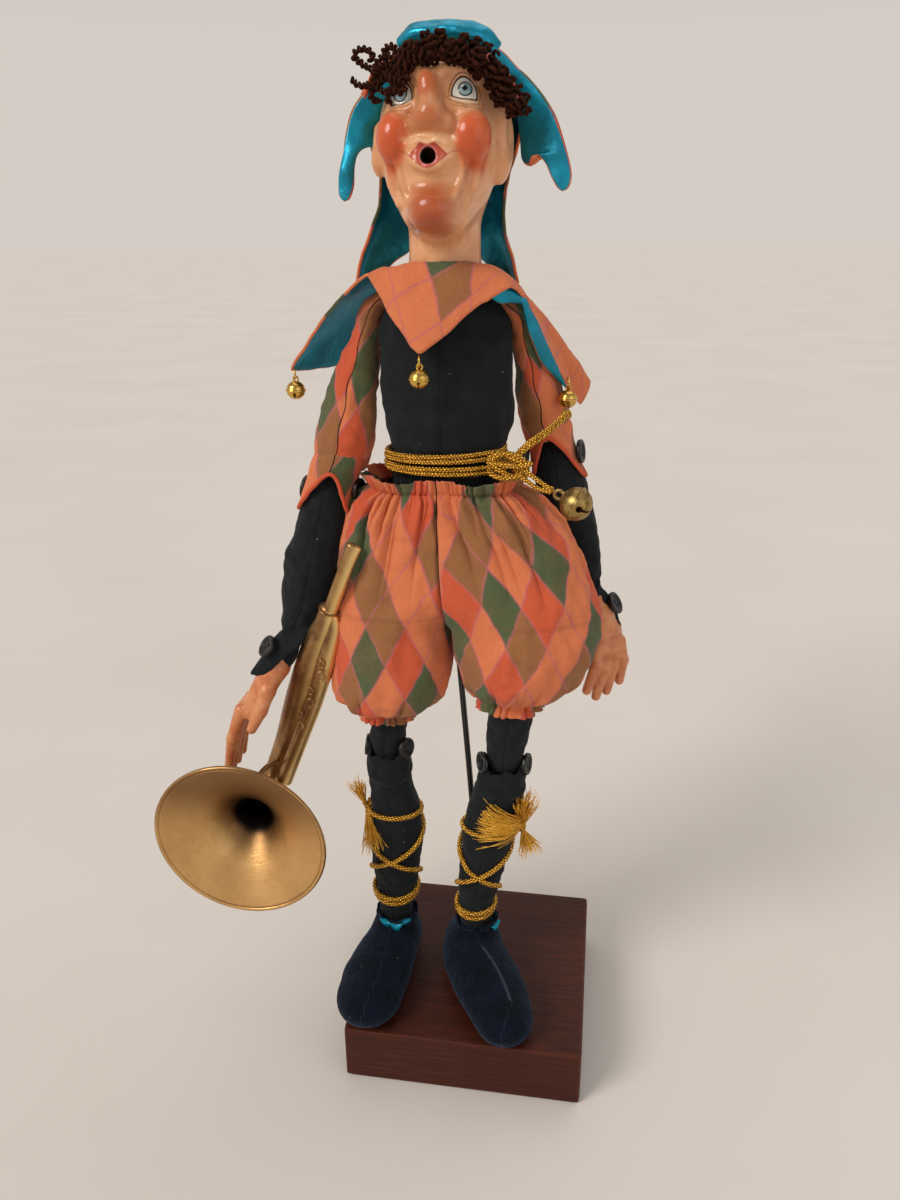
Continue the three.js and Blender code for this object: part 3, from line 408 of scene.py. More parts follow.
def net(f, lo, hi, h, relax=3):
    """A closed quad mesh on f = 0 (surface nets), then drawn onto the surface."""
    lo, hi = A(lo), A(hi)
    n = np.ceil((hi - lo) / h).astype(int) + 1
    ax = [lo[k] + h * np.arange(n[k]) for k in range(3)]
    G = np.empty(n)
    per = max(1, 400000 // (n[1] * n[2]))
    for i in range(0, n[0], per):
        g = np.stack(np.meshgrid(ax[0][i : i + per], ax[1], ax[2], indexing="ij"), -1)
        G[i : i + per] = f(g.reshape(-1, 3)).reshape(g.shape[:3])
    s = G < 0
    c = sum(s[i : n[0] - 1 + i, j : n[1] - 1 + j, k : n[2] - 1 + k].astype(int) for i in (0, 1) for j in (0, 1) for k in (0, 1))
    act = np.argwhere((c > 0) & (c < 8))
    idx = np.full(c.shape, -1)
    idx[tuple(act.T)] = np.arange(len(act))
    acc, cnt = np.zeros((len(act), 3)), np.zeros(len(act))
    for d in range(3):
        for p in (0, 1):
            for q in (0, 1):
                o = np.zeros(3, int)
                o[(d + 1) % 3], o[(d + 2) % 3] = p, q
                o2 = o.copy()
                o2[d] = 1
                a, b = G[tuple((act + o).T)], G[tuple((act + o2).T)]
                x = (a < 0) != (b < 0)
                t = a[x] / (a[x] - b[x])
                acc[x] += o + (o2 - o) * t[:, None]
                cnt[x] += 1
    V = lo + h * (act + acc / cnt[:, None])
    F = []
    for d in range(3):
        e, g = (d + 1) % 3, (d + 2) % 3
        a = [slice(None)] * 3
        b = [slice(None)] * 3
        a[d], b[d] = slice(0, -1), slice(1, None)
        x = s[tuple(a)] != s[tuple(b)]
        pts = np.argwhere(x)
        pts = pts[(pts[:, e] >= 1) & (pts[:, g] >= 1) & (pts[:, e] < n[e] - 1) & (pts[:, g] < n[g] - 1)]
        E, H = np.zeros(3, int), np.zeros(3, int)
        E[e], H[g] = 1, 1
        q = np.stack([idx[tuple((pts - v).T)] for v in (E + H, H, 0 * E, E)], 1)
        low = s[tuple(pts.T)]
        q[~low] = q[~low][:, ::-1]
        F.append(q)
    F = np.concatenate(F)
    e = h * 0.3
    for _ in range(relax):
        v = f(V)
        g = np.stack([(f(V + e * x) - f(V - e * x)) / (2 * e) for x in np.eye(3)], 1)
        stepv = g * (v / np.maximum((g**2).sum(1), 0.1))[:, None]
        V = V - np.clip(stepv, -h * 0.5, h * 0.5)
    return V, F


# ---------- materials ----------
def rgb(h):
    c = A([int(h[i : i + 2], 16) for i in (1, 3, 5)]) / 255
    return tuple(np.where(c <= 0.04045, c / 12.92, ((c + 0.055) / 1.055) ** 2.4))


class E:
    """A socket that takes part in sums."""

    def __init__(self, g, s):
        self.g, self.s = g, s

    def __add__(self, o):
        return self.g.m("ADD", self, o)

    __radd__ = __add__

    def __sub__(self, o):
        return self.g.m("SUBTRACT", self, o)

    def __rsub__(self, o):
        return self.g.m("SUBTRACT", o, self)

    def __mul__(self, o):
        return self.g.m("MULTIPLY", self, o)

    __rmul__ = __mul__

    def __truediv__(self, o):
        return self.g.m("DIVIDE", self, o)

    def __neg__(self):
        return self.g.m("MULTIPLY", self, -1)

    def __pow__(self, o):
        return self.g.m("POWER", self, o)


class G:
    """One material's nodes, written as sums."""

    def __init__(self, name):
        self.mat = bpy.data.materials.new(name)
        self.mat.use_nodes = True
        self.t = self.mat.node_tree
        self.b = self.t.nodes["Principled BSDF"]

    def put(self, sock, v):
        if isinstance(v, E):
            self.t.links.new(v.s, sock)
        elif isinstance(v, (tuple, list, np.ndarray)):
            v = [float(x) for x in v]
            sock.default_value = v + [1.0] if len(sock.default_value) == 4 and len(v) == 3 else v
        else:
            sock.default_value = v

    def node(self, kind, ins, out=0, **props):
        n = self.t.nodes.new("ShaderNode" + kind)
        for k, v in props.items():
            setattr(n, k, v)
        for k, v in ins.items():
            self.put(n.inputs[k], v)
        return E(self, n.outputs[out])

    def m(self, op, a, b=0.0, c=0.0, clamp=False):
        return self.node("Math", {0: a, 1: b, 2: c}, operation=op, use_clamp=clamp)

    def abs(self, a):
        return self.m("ABSOLUTE", a)

    def min(self, a, b):
        return self.m("MINIMUM", a, b)

    def max(self, a, b):
        return self.m("MAXIMUM", a, b)

    def sin(self, a):
        return self.m("SINE", a)

    def step(self, a, b, x):
        return self.node("MapRange", {0: x, 1: float(a), 2: float(b), 3: 0.0, 4: 1.0}, interpolation_type="SMOOTHSTEP")

    def vec(self, x, y, z):
        return self.node("CombineXYZ", {0: x, 1: y, 2: z})

    def sep(self, v):
        n = self.t.nodes.new("ShaderNodeSeparateXYZ")
        self.put(n.inputs[0], v)
        return [E(self, n.outputs[k]) for k in range(3)]

    def attr(self, name="cloth"):
        return self.node("Attribute", {}, 1, attribute_name=name)

    def mm(self):
        """Place on the object in mm."""
        return self.node("VectorMath", {0: self.node("TexCoord", {}, 3), 1: (1000.0, 1000.0, 1000.0)}, operation="MULTIPLY")

    def scaled(self, v, x, y, z):
        return self.node("VectorMath", {0: v, 1: (float(x), float(y), float(z))}, operation="MULTIPLY")

    def noise(self, v, scale, detail=2.0, rough=0.5, out=0, dist=0.0):
        return self.node("TexNoise", {"Vector": v, "Scale": float(scale), "Detail": float(detail), "Roughness": float(rough), "Distortion": float(dist)}, out)

    def cells(self, v, scale, out=0):
        return self.node("TexVoronoi", {"Vector": v, "Scale": float(scale)}, out)

    def mix(self, f, a, b, blend="MIX"):
        return self.node("Mix", {0: f, 6: a, 7: b}, 2, data_type="RGBA", blend_type=blend)

    def bump(self, h, strength=1.0, normal=None):
        """h is a height in mm."""
        ins = {"Height": h, "Distance": MM, "Strength": strength}
        if normal is not None:
            ins["Normal"] = normal
        return self.node("Bump", ins)

    def finish(self, color, rough=0.5, metal=0.0, normal=None, **constant):
        self.put(self.b.inputs["Base Color"], color)
        self.put(self.b.inputs["Roughness"], rough)
        self.put(self.b.inputs["Metallic"], metal)
        if normal is not None:
            self.put(self.b.inputs["Normal"], normal)
        for k, v in constant.items():
            self.put(self.b.inputs[k.replace("_", " ")], v)
        return self.mat


def m_print(name="harlequin_cotton", W=15.4, H=30.0, greens=(0, 9, 11), reds=(5, 7, 13), tans=(1, 3, 8, 15)):
    """Printed cotton: diamonds in rows of green and tan between rows of two oranges, with pink lines; the cloth's z marks a dark seam line where it is near 0.5."""
    g = G(name)
    c = g.attr()
    x, y, z = g.sep(c)
    wob = g.noise(c, 0.18, 2)
    x1 = x + (wob - 0.5) * 1.2
    a = x1 / W + y / H
    b = y / H - x1 / W
    i, j = g.m("FLOOR", a), g.m("FLOOR", b)
    fa, fb = a - i, b - j
    cell = g.m("FLOORED_MODULO", i, 4.0) + g.m("FLOORED_MODULO", j, 4.0) * 4
    edge = g.min(g.min(fa, 1 - fa), g.min(fb, 1 - fb)) * (W * H / math.hypot(W, H))

    def among(*codes):
        hit = g.m("COMPARE", cell, float(codes[0]), 0.3)
        for q in codes[1:]:
            hit = hit + g.m("COMPARE", cell, float(q), 0.3)
        return hit

    col = g.mix(among(*greens), rgb("#df7f52"), rgb("#416040"))
    col = g.mix(among(*reds), col, rgb("#d35b39"))
    col = g.mix(among(*tans), col, rgb("#98683f"))
    rough_edge = edge + (g.noise(c, 2.2, 2) - 0.5) * 0.35
    line = g.step(0.7, 0.25, rough_edge)
    col = g.mix(line * 0.5, col, rgb("#c46a78"))
    cloud = g.noise(c, 0.09, 3)
    col = g.mix(g.step(0.35, 0.75, cloud) * 0.12, col, rgb("#c05a4a"), "MIX")
    weave = g.sin(x * (TAU / 0.62)) * g.sin(y * (TAU / 0.62))
    fine = g.noise(g.scaled(c, 1, 4, 1), 1.6, 3, 0.7)
    col = g.mix(g.step(0.4, 0.8, fine) * 0.16, col, rgb("#e09a74"), "MIX")
    dark = g.step(0.6, 0.36, fine) * 0.2
    col = g.mix(dark, col, rgb("#7d3526"))
    seam = g.step(0.34, 0.16, g.abs(z))
    col = g.mix(seam * 0.93, col, rgb("#1c1412"))
    n = g.bump(weave * 0.045 + fine * 0.12 + g.noise(c, 0.35, 3) * 0.5, 0.8)
    return g.finish(col, 0.86, 0.0, n, Sheen_Weight=0.08, Sheen_Roughness=0.5, Specular_IOR_Level=0.2)


def m_black():
    g = G("black_cotton")
    c, p = g.attr(), g.mm()
    x, y, z = g.sep(c)
    weave = g.sin(x * (TAU / 0.55)) * g.sin(y * (TAU / 0.55))
    cloud = g.noise(p, 0.16, 4, 0.6)
    col = g.mix(g.step(0.3, 0.75, cloud), rgb("#0d1114"), rgb("#161b1f"))
    fine = g.noise(g.scaled(c, 1, 3, 1), 1.8, 2, 0.7)
    col = g.mix(g.step(0.45, 0.8, fine) * 0.45, col, rgb("#24282c"))
    spot = g.cells(p, 0.17)
    lint = g.step(0.075, 0.04, spot) * g.step(0.66, 0.7, g.sep(g.cells(p, 0.17, 1))[0])
    col = g.mix(lint, col, rgb("#63655f"))
    seam = g.step(0.4, 0.15, g.abs(z))
    col = g.mix(seam * 0.6, col, rgb("#07090b"))
    n = g.bump(weave * 0.05 + fine * 0.1 + g.noise(p, 0.3, 3) * 0.5 - seam * 0.12, 0.9)
    return g.finish(col, 0.88, 0.0, n, Sheen_Weight=0.07, Sheen_Roughness=0.45, Sheen_Tint=(0.7, 0.75, 0.8, 1), Specular_IOR_Level=0.25)


def m_teal():
    g = G("teal_satin")
    c, p = g.attr(), g.mm()
    x, y, _ = g.sep(c)
    threads = g.noise(g.scaled(c, 0.6, 8, 1), 1.0, 2, 0.6)
    cloud = g.noise(p, 0.1, 3)
    col = g.mix(g.step(0.3, 0.7, cloud), rgb("#0b7a94"), rgb("#1095b3"))
    col = g.mix(g.step(0.55, 0.85, threads) * 0.35, col, rgb("#1691aa"))
    n = g.bump(threads * 0.07 + g.noise(p, 0.3, 2) * 0.5, 0.8)
    return g.finish(col, 0.3 + g.noise(p, 0.5, 2) * 0.1, 0.6, n, Anisotropic=0.4)


def m_velvet():
    g = G("navy_velvet")
    c, p = g.attr(), g.mm()
    pile = g.noise(p, 2.4, 3, 0.75)
    nap = g.noise(p, 0.13, 3, 0.6)
    col = g.mix(g.step(0.35, 0.7, nap), rgb("#060a12"), rgb("#0b1424"))
    col = g.mix(g.step(0.55, 0.85, pile) * 0.45, col, rgb("#18263c"))
    _, _, z = g.sep(c)
    fuzz = g.step(1.1, 0.1, g.abs(z) + (g.noise(p, 1.6, 3, 0.8) - 0.5) * 2.2)
    col = g.mix(fuzz * 0.4, col, rgb("#5a6674"))
    spot = g.cells(p, 0.2)
    lint = g.step(0.09, 0.04, spot) * g.step(0.6, 0.66, g.sep(g.cells(p, 0.2, 1))[0])
    col = g.mix(lint, col, rgb("#5c6468"))
    n = g.bump(pile * 0.35 + g.noise(p, 0.4, 3) * 0.7, 1.0)
    return g.finish(col, 0.95, 0.0, n, Sheen_Weight=0.22, Sheen_Roughness=0.35, Sheen_Tint=(0.4, 0.55, 0.85, 1), Specular_IOR_Level=0.15)


def m_gold(name="gold_cord", light="#ffcb48", dark="#94550c"):
    g = G(name)
    s, a, _ = g.sep(g.attr())
    p = g.mm()
    twist_relief_and_shade = g.sin(s * (TAU / 0.95) + a * 1.0)
    glint = g.noise(p, 3.2, 2, 0.7)
    # painted shade and highlight: the fine twist's grooves are painted dark brown and its crests bright yellow; the
    # same stripes make its bump
    col = g.mix(g.step(-0.6, 0.8, twist_relief_and_shade), rgb(dark), rgb(light))
    col = g.mix(g.step(0.58, 0.8, glint) * 0.8, col, rgb("#ffe7a4"))
    n = g.bump(twist_relief_and_shade * 0.12 + glint * 0.12, 1.0)
    return g.finish(col, 0.27, 0.62, n)


def m_fray():
    g = G("frayed_gold_thread")
    s, a, _ = g.sep(g.attr())
    glint = g.noise(g.mm(), 1.4, 2, 0.7)
    col = g.mix(g.step(0.3, 0.7, glint), rgb("#cc8a18"), rgb("#f7c648"))
    n = g.bump(glint * 0.1, 1.0)
    return g.finish(col, 0.4, 0.3, n)


def m_yarn():
    g = G("chenille_yarn")
    p = g.mm()
    fuzz = g.noise(p, 3.0, 3, 0.8)
    tuft = g.noise(p, 0.9, 2)
    col = g.mix(g.step(0.35, 0.7, tuft), rgb("#2c140c"), rgb("#4c2516"))
    col = g.mix(g.step(0.55, 0.8, fuzz) * 0.6, col, rgb("#6e3d26"))
    n = g.bump(fuzz * 0.55 + tuft * 0.5, 1.0)
    return g.finish(col, 0.9, 0.0, n, Sheen_Weight=0.03, Sheen_Roughness=0.4, Sheen_Tint=(0.8, 0.45, 0.3, 1), Specular_IOR_Level=0.1)


def m_wood():
    g = G("mahogany")
    p = g.mm()
    x, y, z = g.sep(p)
    grain = g.noise(g.scaled(p, 0.05, 0.9, 0.9), 1.0, 5, 0.62, dist=0.6)
    pores = g.noise(g.scaled(p, 0.16, 3.2, 3.2), 1.0, 2, 0.6)
    cloud = g.noise(g.scaled(p, 0.6, 1, 1), 0.05, 3)
    col = g.mix(g.step(0.3, 0.72, grain), rgb("#34150c"), rgb("#4e2213"))
    col = g.mix(g.step(0.35, 0.75, cloud) * 0.5, col, rgb("#36140c"))
    col = g.mix(g.step(0.62, 0.8, pores) * 0.4, col, rgb("#1f0a06"))
    d1 = 50 - g.abs(x)
    d2 = 50 - g.abs(y)
    d3 = g.min(26 - z, z)
    e = g.min(g.min(g.max(d1, d2), g.max(d2, d3)), g.max(d1, d3))
    wear = g.step(1.5, 0.3, e + (g.noise(p, 0.5, 4, 0.8) - 0.5) * 1.8)
    col = g.mix(wear * 0.35, col, rgb("#653322"))
    n = g.bump(pores * -0.05 + grain * 0.06 + g.noise(p, 0.25, 3) * 0.1, 0.8)
    return g.finish(col, 0.44 + g.noise(p, 0.3, 3) * 0.16, 0.0, n, Specular_IOR_Level=0.22)


def m_rod():
    g = G("black_lacquer")
    p = g.mm()
    col = g.mix(g.step(0.45, 0.75, g.noise(p, 0.4, 4, 0.7)), rgb("#0c0c0e"), rgb("#1b1a1b"))
    n = g.bump(g.noise(p, 0.8, 3) * 0.12, 0.7)
    return g.finish(col, 0.3 + g.noise(p, 0.6, 3) * 0.15, 0.1, n, Coat_Weight=0.3, Coat_Roughness=0.2)


def m_button():
    g = G("black_button_plastic")
    p = g.mm()
    scuff = g.noise(g.scaled(p, 1, 1, 4), 0.9, 4, 0.75)
    col = g.mix(g.step(0.55, 0.8, scuff), rgb("#0d0d0e"), rgb("#2a2a2b"))
    n = g.bump(scuff * 0.06, 0.6)
    return g.finish(col, 0.28 + scuff * 0.22, 0.0, n)


def m_brass(name, light, dark, rough, tarnish):
    g = G(name)
    p = g.mm()
    cloud = g.noise(p, 0.5, 4, 0.65)
    spots = g.noise(p, 2.2, 3, 0.7)
    col = g.mix(g.step(0.4, 0.75, cloud) * tarnish, rgb(light), rgb(dark))
    col = g.mix(g.step(0.62, 0.8, spots) * 0.5 * tarnish, col, rgb("#3b2c16"))
    n = g.bump(spots * 0.04 + cloud * 0.05, 0.6)
    return g.finish(col, rough + cloud * 0.14, 0.95, n)


def m_horn():
    g = G("bronze_painted_highlight")
    p = g.mm()
    cloud = g.noise(p, 0.07, 4, 0.6)
    streak = g.noise(g.scaled(p, 1.2, 1.2, 0.2), 0.5, 4, 0.7)
    spots = g.noise(p, 1.3, 3, 0.7)
    col = g.mix(g.step(0.35, 0.7, cloud), rgb("#b28a59"), rgb("#7b5536"))
    col = g.mix(g.step(0.45, 0.8, streak) * 0.5, col, rgb("#573c26"))
    col = g.mix(g.step(0.6, 0.8, spots) * 0.25, col, rgb("#c39a52"))
    # painted highlight: a pale band down the front of the tube and its side towards the doll's right, where the key
    # light falls, broken up by noise
    ax = g.sep(g.attr())[0]
    mark_mask = g.step(1.0, -1.6, ax) * g.step(-9.5, -6.5, ax) * g.step(0.1, 0.42, g.noise(g.scaled(p, 1, 1, 0.35), 0.22, 3, 0.6) + 0.08)
    col = g.mix(mark_mask * 0.9, col, rgb("#f0cd88"))
    n = g.bump(spots * 0.05 + streak * 0.12, 0.7)
    return g.finish(col, 0.26 + streak * 0.14, 0.9, n)


def m_horn_inside():
    g = G("bronze_bell_inside")
    p = g.mm()
    x, y, z = g.sep(g.attr())
    px, py, pz = g.sep(p)
    cloud = g.noise(p, 0.06, 4, 0.6)
    rings = g.noise(g.vec(x * 1.2, 0.0, 0.0), 1.0, 3, 0.7)
    streak = g.noise(p, 0.7, 4, 0.7)
    col = g.mix(g.step(0.3, 0.7, cloud), rgb("#c79a62"), rgb("#d9ad72"))
    col = g.mix(g.step(0.5, 0.8, streak) * 0.25, col, rgb("#94703f"))
    # painted shade: darker brown over the upper half and towards the throat, broken up by noise
    up = pz + (cloud - 0.5) * 14 + x * -0.25
    col = g.mix(g.step(98, 122, up) * 0.75, col, rgb("#6d4a2c"))
    col = g.mix(g.step(20, 9.5, x + (cloud - 0.5) * 6 - up * 0.03 + 3.0) * 0.8, col, rgb("#4a2c17"))
    # painted shade: the throat is painted near-black for the dark bore beyond it
    col = g.mix(g.step(10.6, 7.6, x), col, rgb("#140b06"))
    n = g.bump(rings * 0.1 + streak * 0.1, 0.6)
    return g.finish(col, 0.31 + streak * 0.12, 0.88, n)


def m_floor():
    g = G("pale_floor")
    p = g.mm()
    cloud = g.noise(p, 0.004, 3)
    col = g.mix(g.step(0.3, 0.7, cloud), rgb("#d8d0c8"), rgb("#dcd5ce"))
    n = g.bump(g.noise(p, 0.4, 2) * 0.1, 0.2)
    return g.finish(col, 0.8, 0.0, n, Specular_IOR_Level=0.2)


def m_skin(face):
    """Painted hard skin. On the face the paint follows the head's own x, y, z."""
    g = G("painted_face" if face else "painted_hand")
    p = g.mm()
    x, y, z = g.sep(g.attr())
    cloud = g.noise(p, 0.12, 4, 0.6)
    col = g.mix(g.step(0.3, 0.7, cloud), rgb("#e5ab7f"), rgb("#da9969"))
    col = g.mix(g.step(0.45, 0.75, g.noise(p, 0.35, 3)) * 0.3, col, rgb("#bf7a4c"))
    rough = 0.33 + g.noise(p, 0.6, 3) * 0.12
    n = g.bump(g.noise(p, 0.6, 3) * 0.1 + g.noise(p, 2.5, 2) * 0.02, 0.7)
    if not face:
        col = g.mix(0.45, col, rgb("#c8703c"))
        col = g.mix(g.step(0.3, 0.7, g.noise(p, 0.2, 2)) * 0.7, col, rgb("#b85c30"))
        return g.finish(col, rough, 0.0, n, Specular_IOR_Level=0.3, Coat_Weight=0.3, Coat_Roughness=0.2)

    def spot(cx, cz, rx, rz, a=1.15, b=0.6):
        q = ((x - cx) / rx) ** 2 + ((z - cz) / rz) ** 2
        return g.step(a * a, b * b, q)

    frontal = g.step(-8, -13, y)
    # painted shade: darker warm brown over the nose, in the hollows beside it, in the groove under the lower lip and at
    # the temples
    for cx, cz, rx, rz, k in ((-0.2, 3.5, 7.0, 8.0, 0.55), (6.6, -1.0, 3.2, 6.0, 0.5), (-6.0, -1.0, 3.0, 6.0, 0.5), (0.6, -19.4, 8.5, 2.8, 0.65), (17.0, 12.0, 5.0, 9.0, 0.35), (-15.5, 12.0, 5.0, 9.0, 0.4)):
        col = g.mix(spot(cx, cz, rx, rz, 1.2, 0.15) * frontal * k, col, rgb("#b05c30"))
    # blush
    for cx, cz, rx, rz in ((14.6, -5.4, 6.5, 8.7), (-12.6, -5.2, 6.3, 8.9)):
        col = g.mix(spot(cx, cz, rx, rz, 1.15, 0.66) * frontal * 0.9, col, rgb("#cc5220"))
        col = g.mix(spot(cx - (1.6 if cx > 0 else -1.4), cz - 2.0, rx * 0.72, rz * 0.7, 1.1, 0.2) * frontal * 0.5, col, rgb("#b2400f"))
    for s in (-1, 1):
        col = g.mix(spot(s * 13.0, -14.0, 3.2, 7.5, 1.2, 0.1) * frontal * 0.25, col, rgb("#c4602f"))
    col = g.mix(spot(-0.6, 10.4, 4.0, 5.0, 1.1, 0.2) * frontal * 0.85, col, rgb("#b85428"))
    # painted shade: darker red-brown under the nose and over its end
    col = g.mix(spot(0.6, -0.8, 5.6, 2.8, 1.15, 0.2) * frontal * 0.5, col, rgb("#a04a22"))
    col = g.mix(spot(0.8, -1.2, 4.8, 4.6, 1.1, 0.3) * frontal * 0.55, col, rgb("#b9622f"))
    col = g.mix(spot(1.0, -25.6, 8.6, 7.4, 1.15, 0.3) * g.step(-7, -13, y) * 0.92, col, rgb("#ad4c22"))
    # painted shade: darker red over the underside of the chin
    col = g.mix(spot(0.6, -30.6, 7.2, 4.0, 1.15, 0.2) * g.step(-6, -12, y) * 0.55, col, rgb("#93391a"))
    # the pale band over the lips
    col = g.mix(spot(0.4, -5.6, 9.4, 2.0, 1.1, 0.5) * frontal * 0.65, col, rgb("#e9bb8e"))
    col = g.mix(spot(0.4, -14.6, 8.4, 3.6, 1.1, 0.4) * frontal * 0.3, col, rgb("#e0ac7c"))

    def seg(x0, z0, x1, z1, w, strength, color, soft=0.6):
        nonlocal col
        dx, dz = x1 - x0, z1 - z0
        L2 = dx * dx + dz * dz
        t = g.m("MULTIPLY", (x - x0) * dx + (z - z0) * dz, 1 / L2, clamp=True)
        d = ((x - x0 - t * dx) ** 2 + (z - z0 - t * dz) ** 2) ** 0.5
        col = g.mix(g.step(w * 1.5, w * soft, d) * frontal * strength, col, rgb(color))

    def curve(pts, w, strength, color):
        for (a, b), (c, d) in zip(pts, pts[1:]):
            seg(a, b, c, d, w, strength, color)

    # lips: a heart with a red rim round the open mouth
    bow = g.abs(x - 0.3)
    upper = -7.1 - g.abs(bow - 2.3) * 0.36 - g.max(bow - 2.3, 0.0) * 0.42
    lower = -14.7 + bow * 0.26 + bow * bow * 0.075
    lips = g.step(-0.35, 0.45, upper - z) * g.step(-0.35, 0.45, z - lower) * g.step(6.6, 5.8, bow) * frontal
    rim = g.step(1.1, 0.3, g.min(upper - z, z - lower)) * lips
    col = g.mix(lips * 0.92, col, g.mix(g.step(-12.5, -9.5, z), rgb("#cf7c66"), rgb("#bb4a36")))
    col = g.mix(rim * g.step(-14.5, -10.5, z) * 0.8, col, rgb("#a32a1a"))
    hole = ((x - 0.4) ** 2 + (z + 10.8) ** 2) ** 0.5
    col = g.mix(g.step(4.4, 3.2, hole) * lips * 0.75, col, rgb("#b03624"))
    col = g.mix(g.step(3.2, 2.9, hole) * g.step(2.2, 2.6, hole) * frontal * 0.6, col, rgb("#d98476"))
    inside = g.step(2.75, 2.3, hole) * frontal
    col = g.mix(inside, col, rgb("#0b0606"))
    curve([(-5.8, -10.2), (-7.6, -9.0), (-9.4, -8.4)], 0.3, 0.4, "#9c4a30")
    curve([(6.3, -10.2), (8.2, -9.0), (10.2, -8.6)], 0.3, 0.4, "#9c4a30")
    # eyes
    for s, cx, cz in ((1, 10.2, 9.4), (-1, -9.6, 8.2)):
        e = (((x - cx) / 3.6) ** 2 + ((z - cz) / 4.7) ** 2) ** 0.5
        low = cz - 1.7 + ((x - cx) ** 2) * 0.04
        above = g.step(-0.15, 0.15, z - low)
        white = g.step(1.02, 0.97, e) * above * frontal
        col = g.mix(white, col, rgb("#e6e2d6"))
        ring = g.step(0.36, 0.16, g.abs(e - 1.02) * 4.6) * g.step(-0.8, 0.2, z - low) * frontal
        col = g.mix(ring, col, rgb("#231611"))
        e2 = (((x - cx) / 4.5) ** 2 + ((z - cz) / 5.7) ** 2) ** 0.5
        crease = g.step(0.3, 0.1, g.abs(e2 - 1.0) * 5.6) * g.step(-1.5, 1.5, z - low) * frontal
        col = g.mix(crease * 0.75, col, rgb("#5a3322"))
        r = ((x - cx - 0.3 * s) ** 2 + (z - cz - 1.2) ** 2) ** 0.5
        iris = g.step(2.15, 1.95, r) * white
        streaks = g.noise(g.vec(g.m("ARCTAN2", z - cz - 1.2, x - cx) * 3.0, r * 0.6, 0.0), 2.0, 2)
        col = g.mix(iris, col, g.mix(streaks, rgb("#5f7f8c"), rgb("#a9bfc2")))
        col = g.mix(g.step(0.3, 0.1, g.abs(r - 2.05)) * white, col, rgb("#1f2c33"))
        col = g.mix(g.step(0.95, 0.7, r) * white, col, rgb("#0e1316"))
        shine = ((x - cx + 0.5) ** 2 + (z - cz - 1.9) ** 2) ** 0.5
        col = g.mix(g.step(0.45, 0.25, shine) * white, col, rgb("#ffffff"))
        lid = g.abs(z - low)
        inside_x = g.step(4.2, 3.7, g.abs(x - cx))
        col = g.mix(g.step(0.3, 0.12, lid) * inside_x * frontal * 0.85, col, rgb("#3c241b"))
        col = g.mix(g.step(0.42, 0.2, g.abs(z - low + 0.75)) * inside_x * frontal * 0.8, col, rgb("#efe2cc"))
        for k, dz in enumerate((1.7, 3.0)):
            w = g.abs(z - low + dz + g.abs(x - cx) * 0.06)
            col = g.mix(g.step(0.3, 0.1, w) * g.step(4.6 - k, 3.4 - k, g.abs(x - cx)) * frontal * 0.5, col, rgb("#8c5038"))
        a = -1 if s < 0 else 1
        curve([(cx - a * 4.6, cz + 6.8), (cx - a * 2.4, cz + 8.0), (cx + a * 1.4, cz + 8.3), (cx + a * 4.8, cz + 7.0)], 0.3, 0.6, "#6b4028")
        curve([(cx + a * 4.6, cz + 1.0), (cx + a * 5.6, cz - 1.6), (cx + a * 5.4, cz - 3.6)], 0.2, 0.5, "#7a4630")
    # painted shade: darker lines in the creases beside the folds from the nose down to the chin
    for pts in (((11.4, -9.0), (11.8, -14.0), (9.0, -22.0)), ((-10.2, -9.0), (-10.8, -14.0), (-8.4, -21.0))):
        curve(pts, 0.6, 0.3, "#9c5230")
    # wear and brushwork over the paint
    mark_mask = g.step(0.66, 0.8, g.noise(p, 0.9, 4, 0.75))
    col = g.mix(mark_mask * 0.25, col, rgb("#8d5f42"))
    rough = g.mix(inside, rough, (0.9, 0.9, 0.9))
    return g.finish(col, rough, 0.0, n, Specular_IOR_Level=0.22, Coat_Weight=0.5, Coat_Roughness=0.11)


MAT = {
    "print": m_print(), "collar": m_print("harlequin_cotton_collar", greens=(0,), reds=(99,), tans=(1,)), "black": m_black(), "teal": m_teal(), "velvet": m_velvet(), "gold": m_gold(), "fray": m_fray(), "yarn": m_yarn(),
    "wood": m_wood(), "rod": m_rod(), "button": m_button(), "bell": m_brass("bright_brass", "#dcb45c", "#a67a30", 0.16, 0.5),
    "old": m_brass("antique_brass", "#a98d55", "#6d5630", 0.3, 1.0), "horn": m_horn(), "hornin": m_horn_inside(), "face": m_skin(True), "hand": m_skin(False),
}

# ---------- driving sizes, as in the CAD ----------
TORSO = [[-11.5, 0, 321.5, 12, 9], [-11.5, 0, 318, 18.5, 10.5], [-11.4, -0.5, 309, 23.2, 13], [-11.3, -1, 295, 24.2, 15], [-11.1, -1, 281, 24.6, 15.5], [-11.2, 0, 270, 22.8, 14.5], [-11.8, 0, 260, 20, 13], [-12, 0, 249, 20.5, 13.5], [-12.5, 0.5, 236, 23.5, 14.5], [-12.5, 1, 220, 23, 14], [-12.5, 2, 208, 17, 11]]
THIGH_R = [[-29.5, 0, 201.5, 9.5, 10], [-33, -0.5, 188, 10.5, 11], [-36, -1, 168, 9, 9.5], [-36.8, -1, 150, 8.0, 7.8], [-38.2, -1, 137.5, 7.4, 6.0], [-38.3, -1, 132, 6.4, 4.2]]
THIGH_L = [[4.5, 0, 201.5, 9.5, 10], [9, -1, 188, 11, 11], [14, -3, 170, 10.5, 10.5], [14.3, -3, 157, 9, 8.6], [12.8, -2.5, 143, 8.4, 7.2], [12, -2, 134, 7.4, 5.0], [11.8, -2, 130, 6.4, 3.8]]
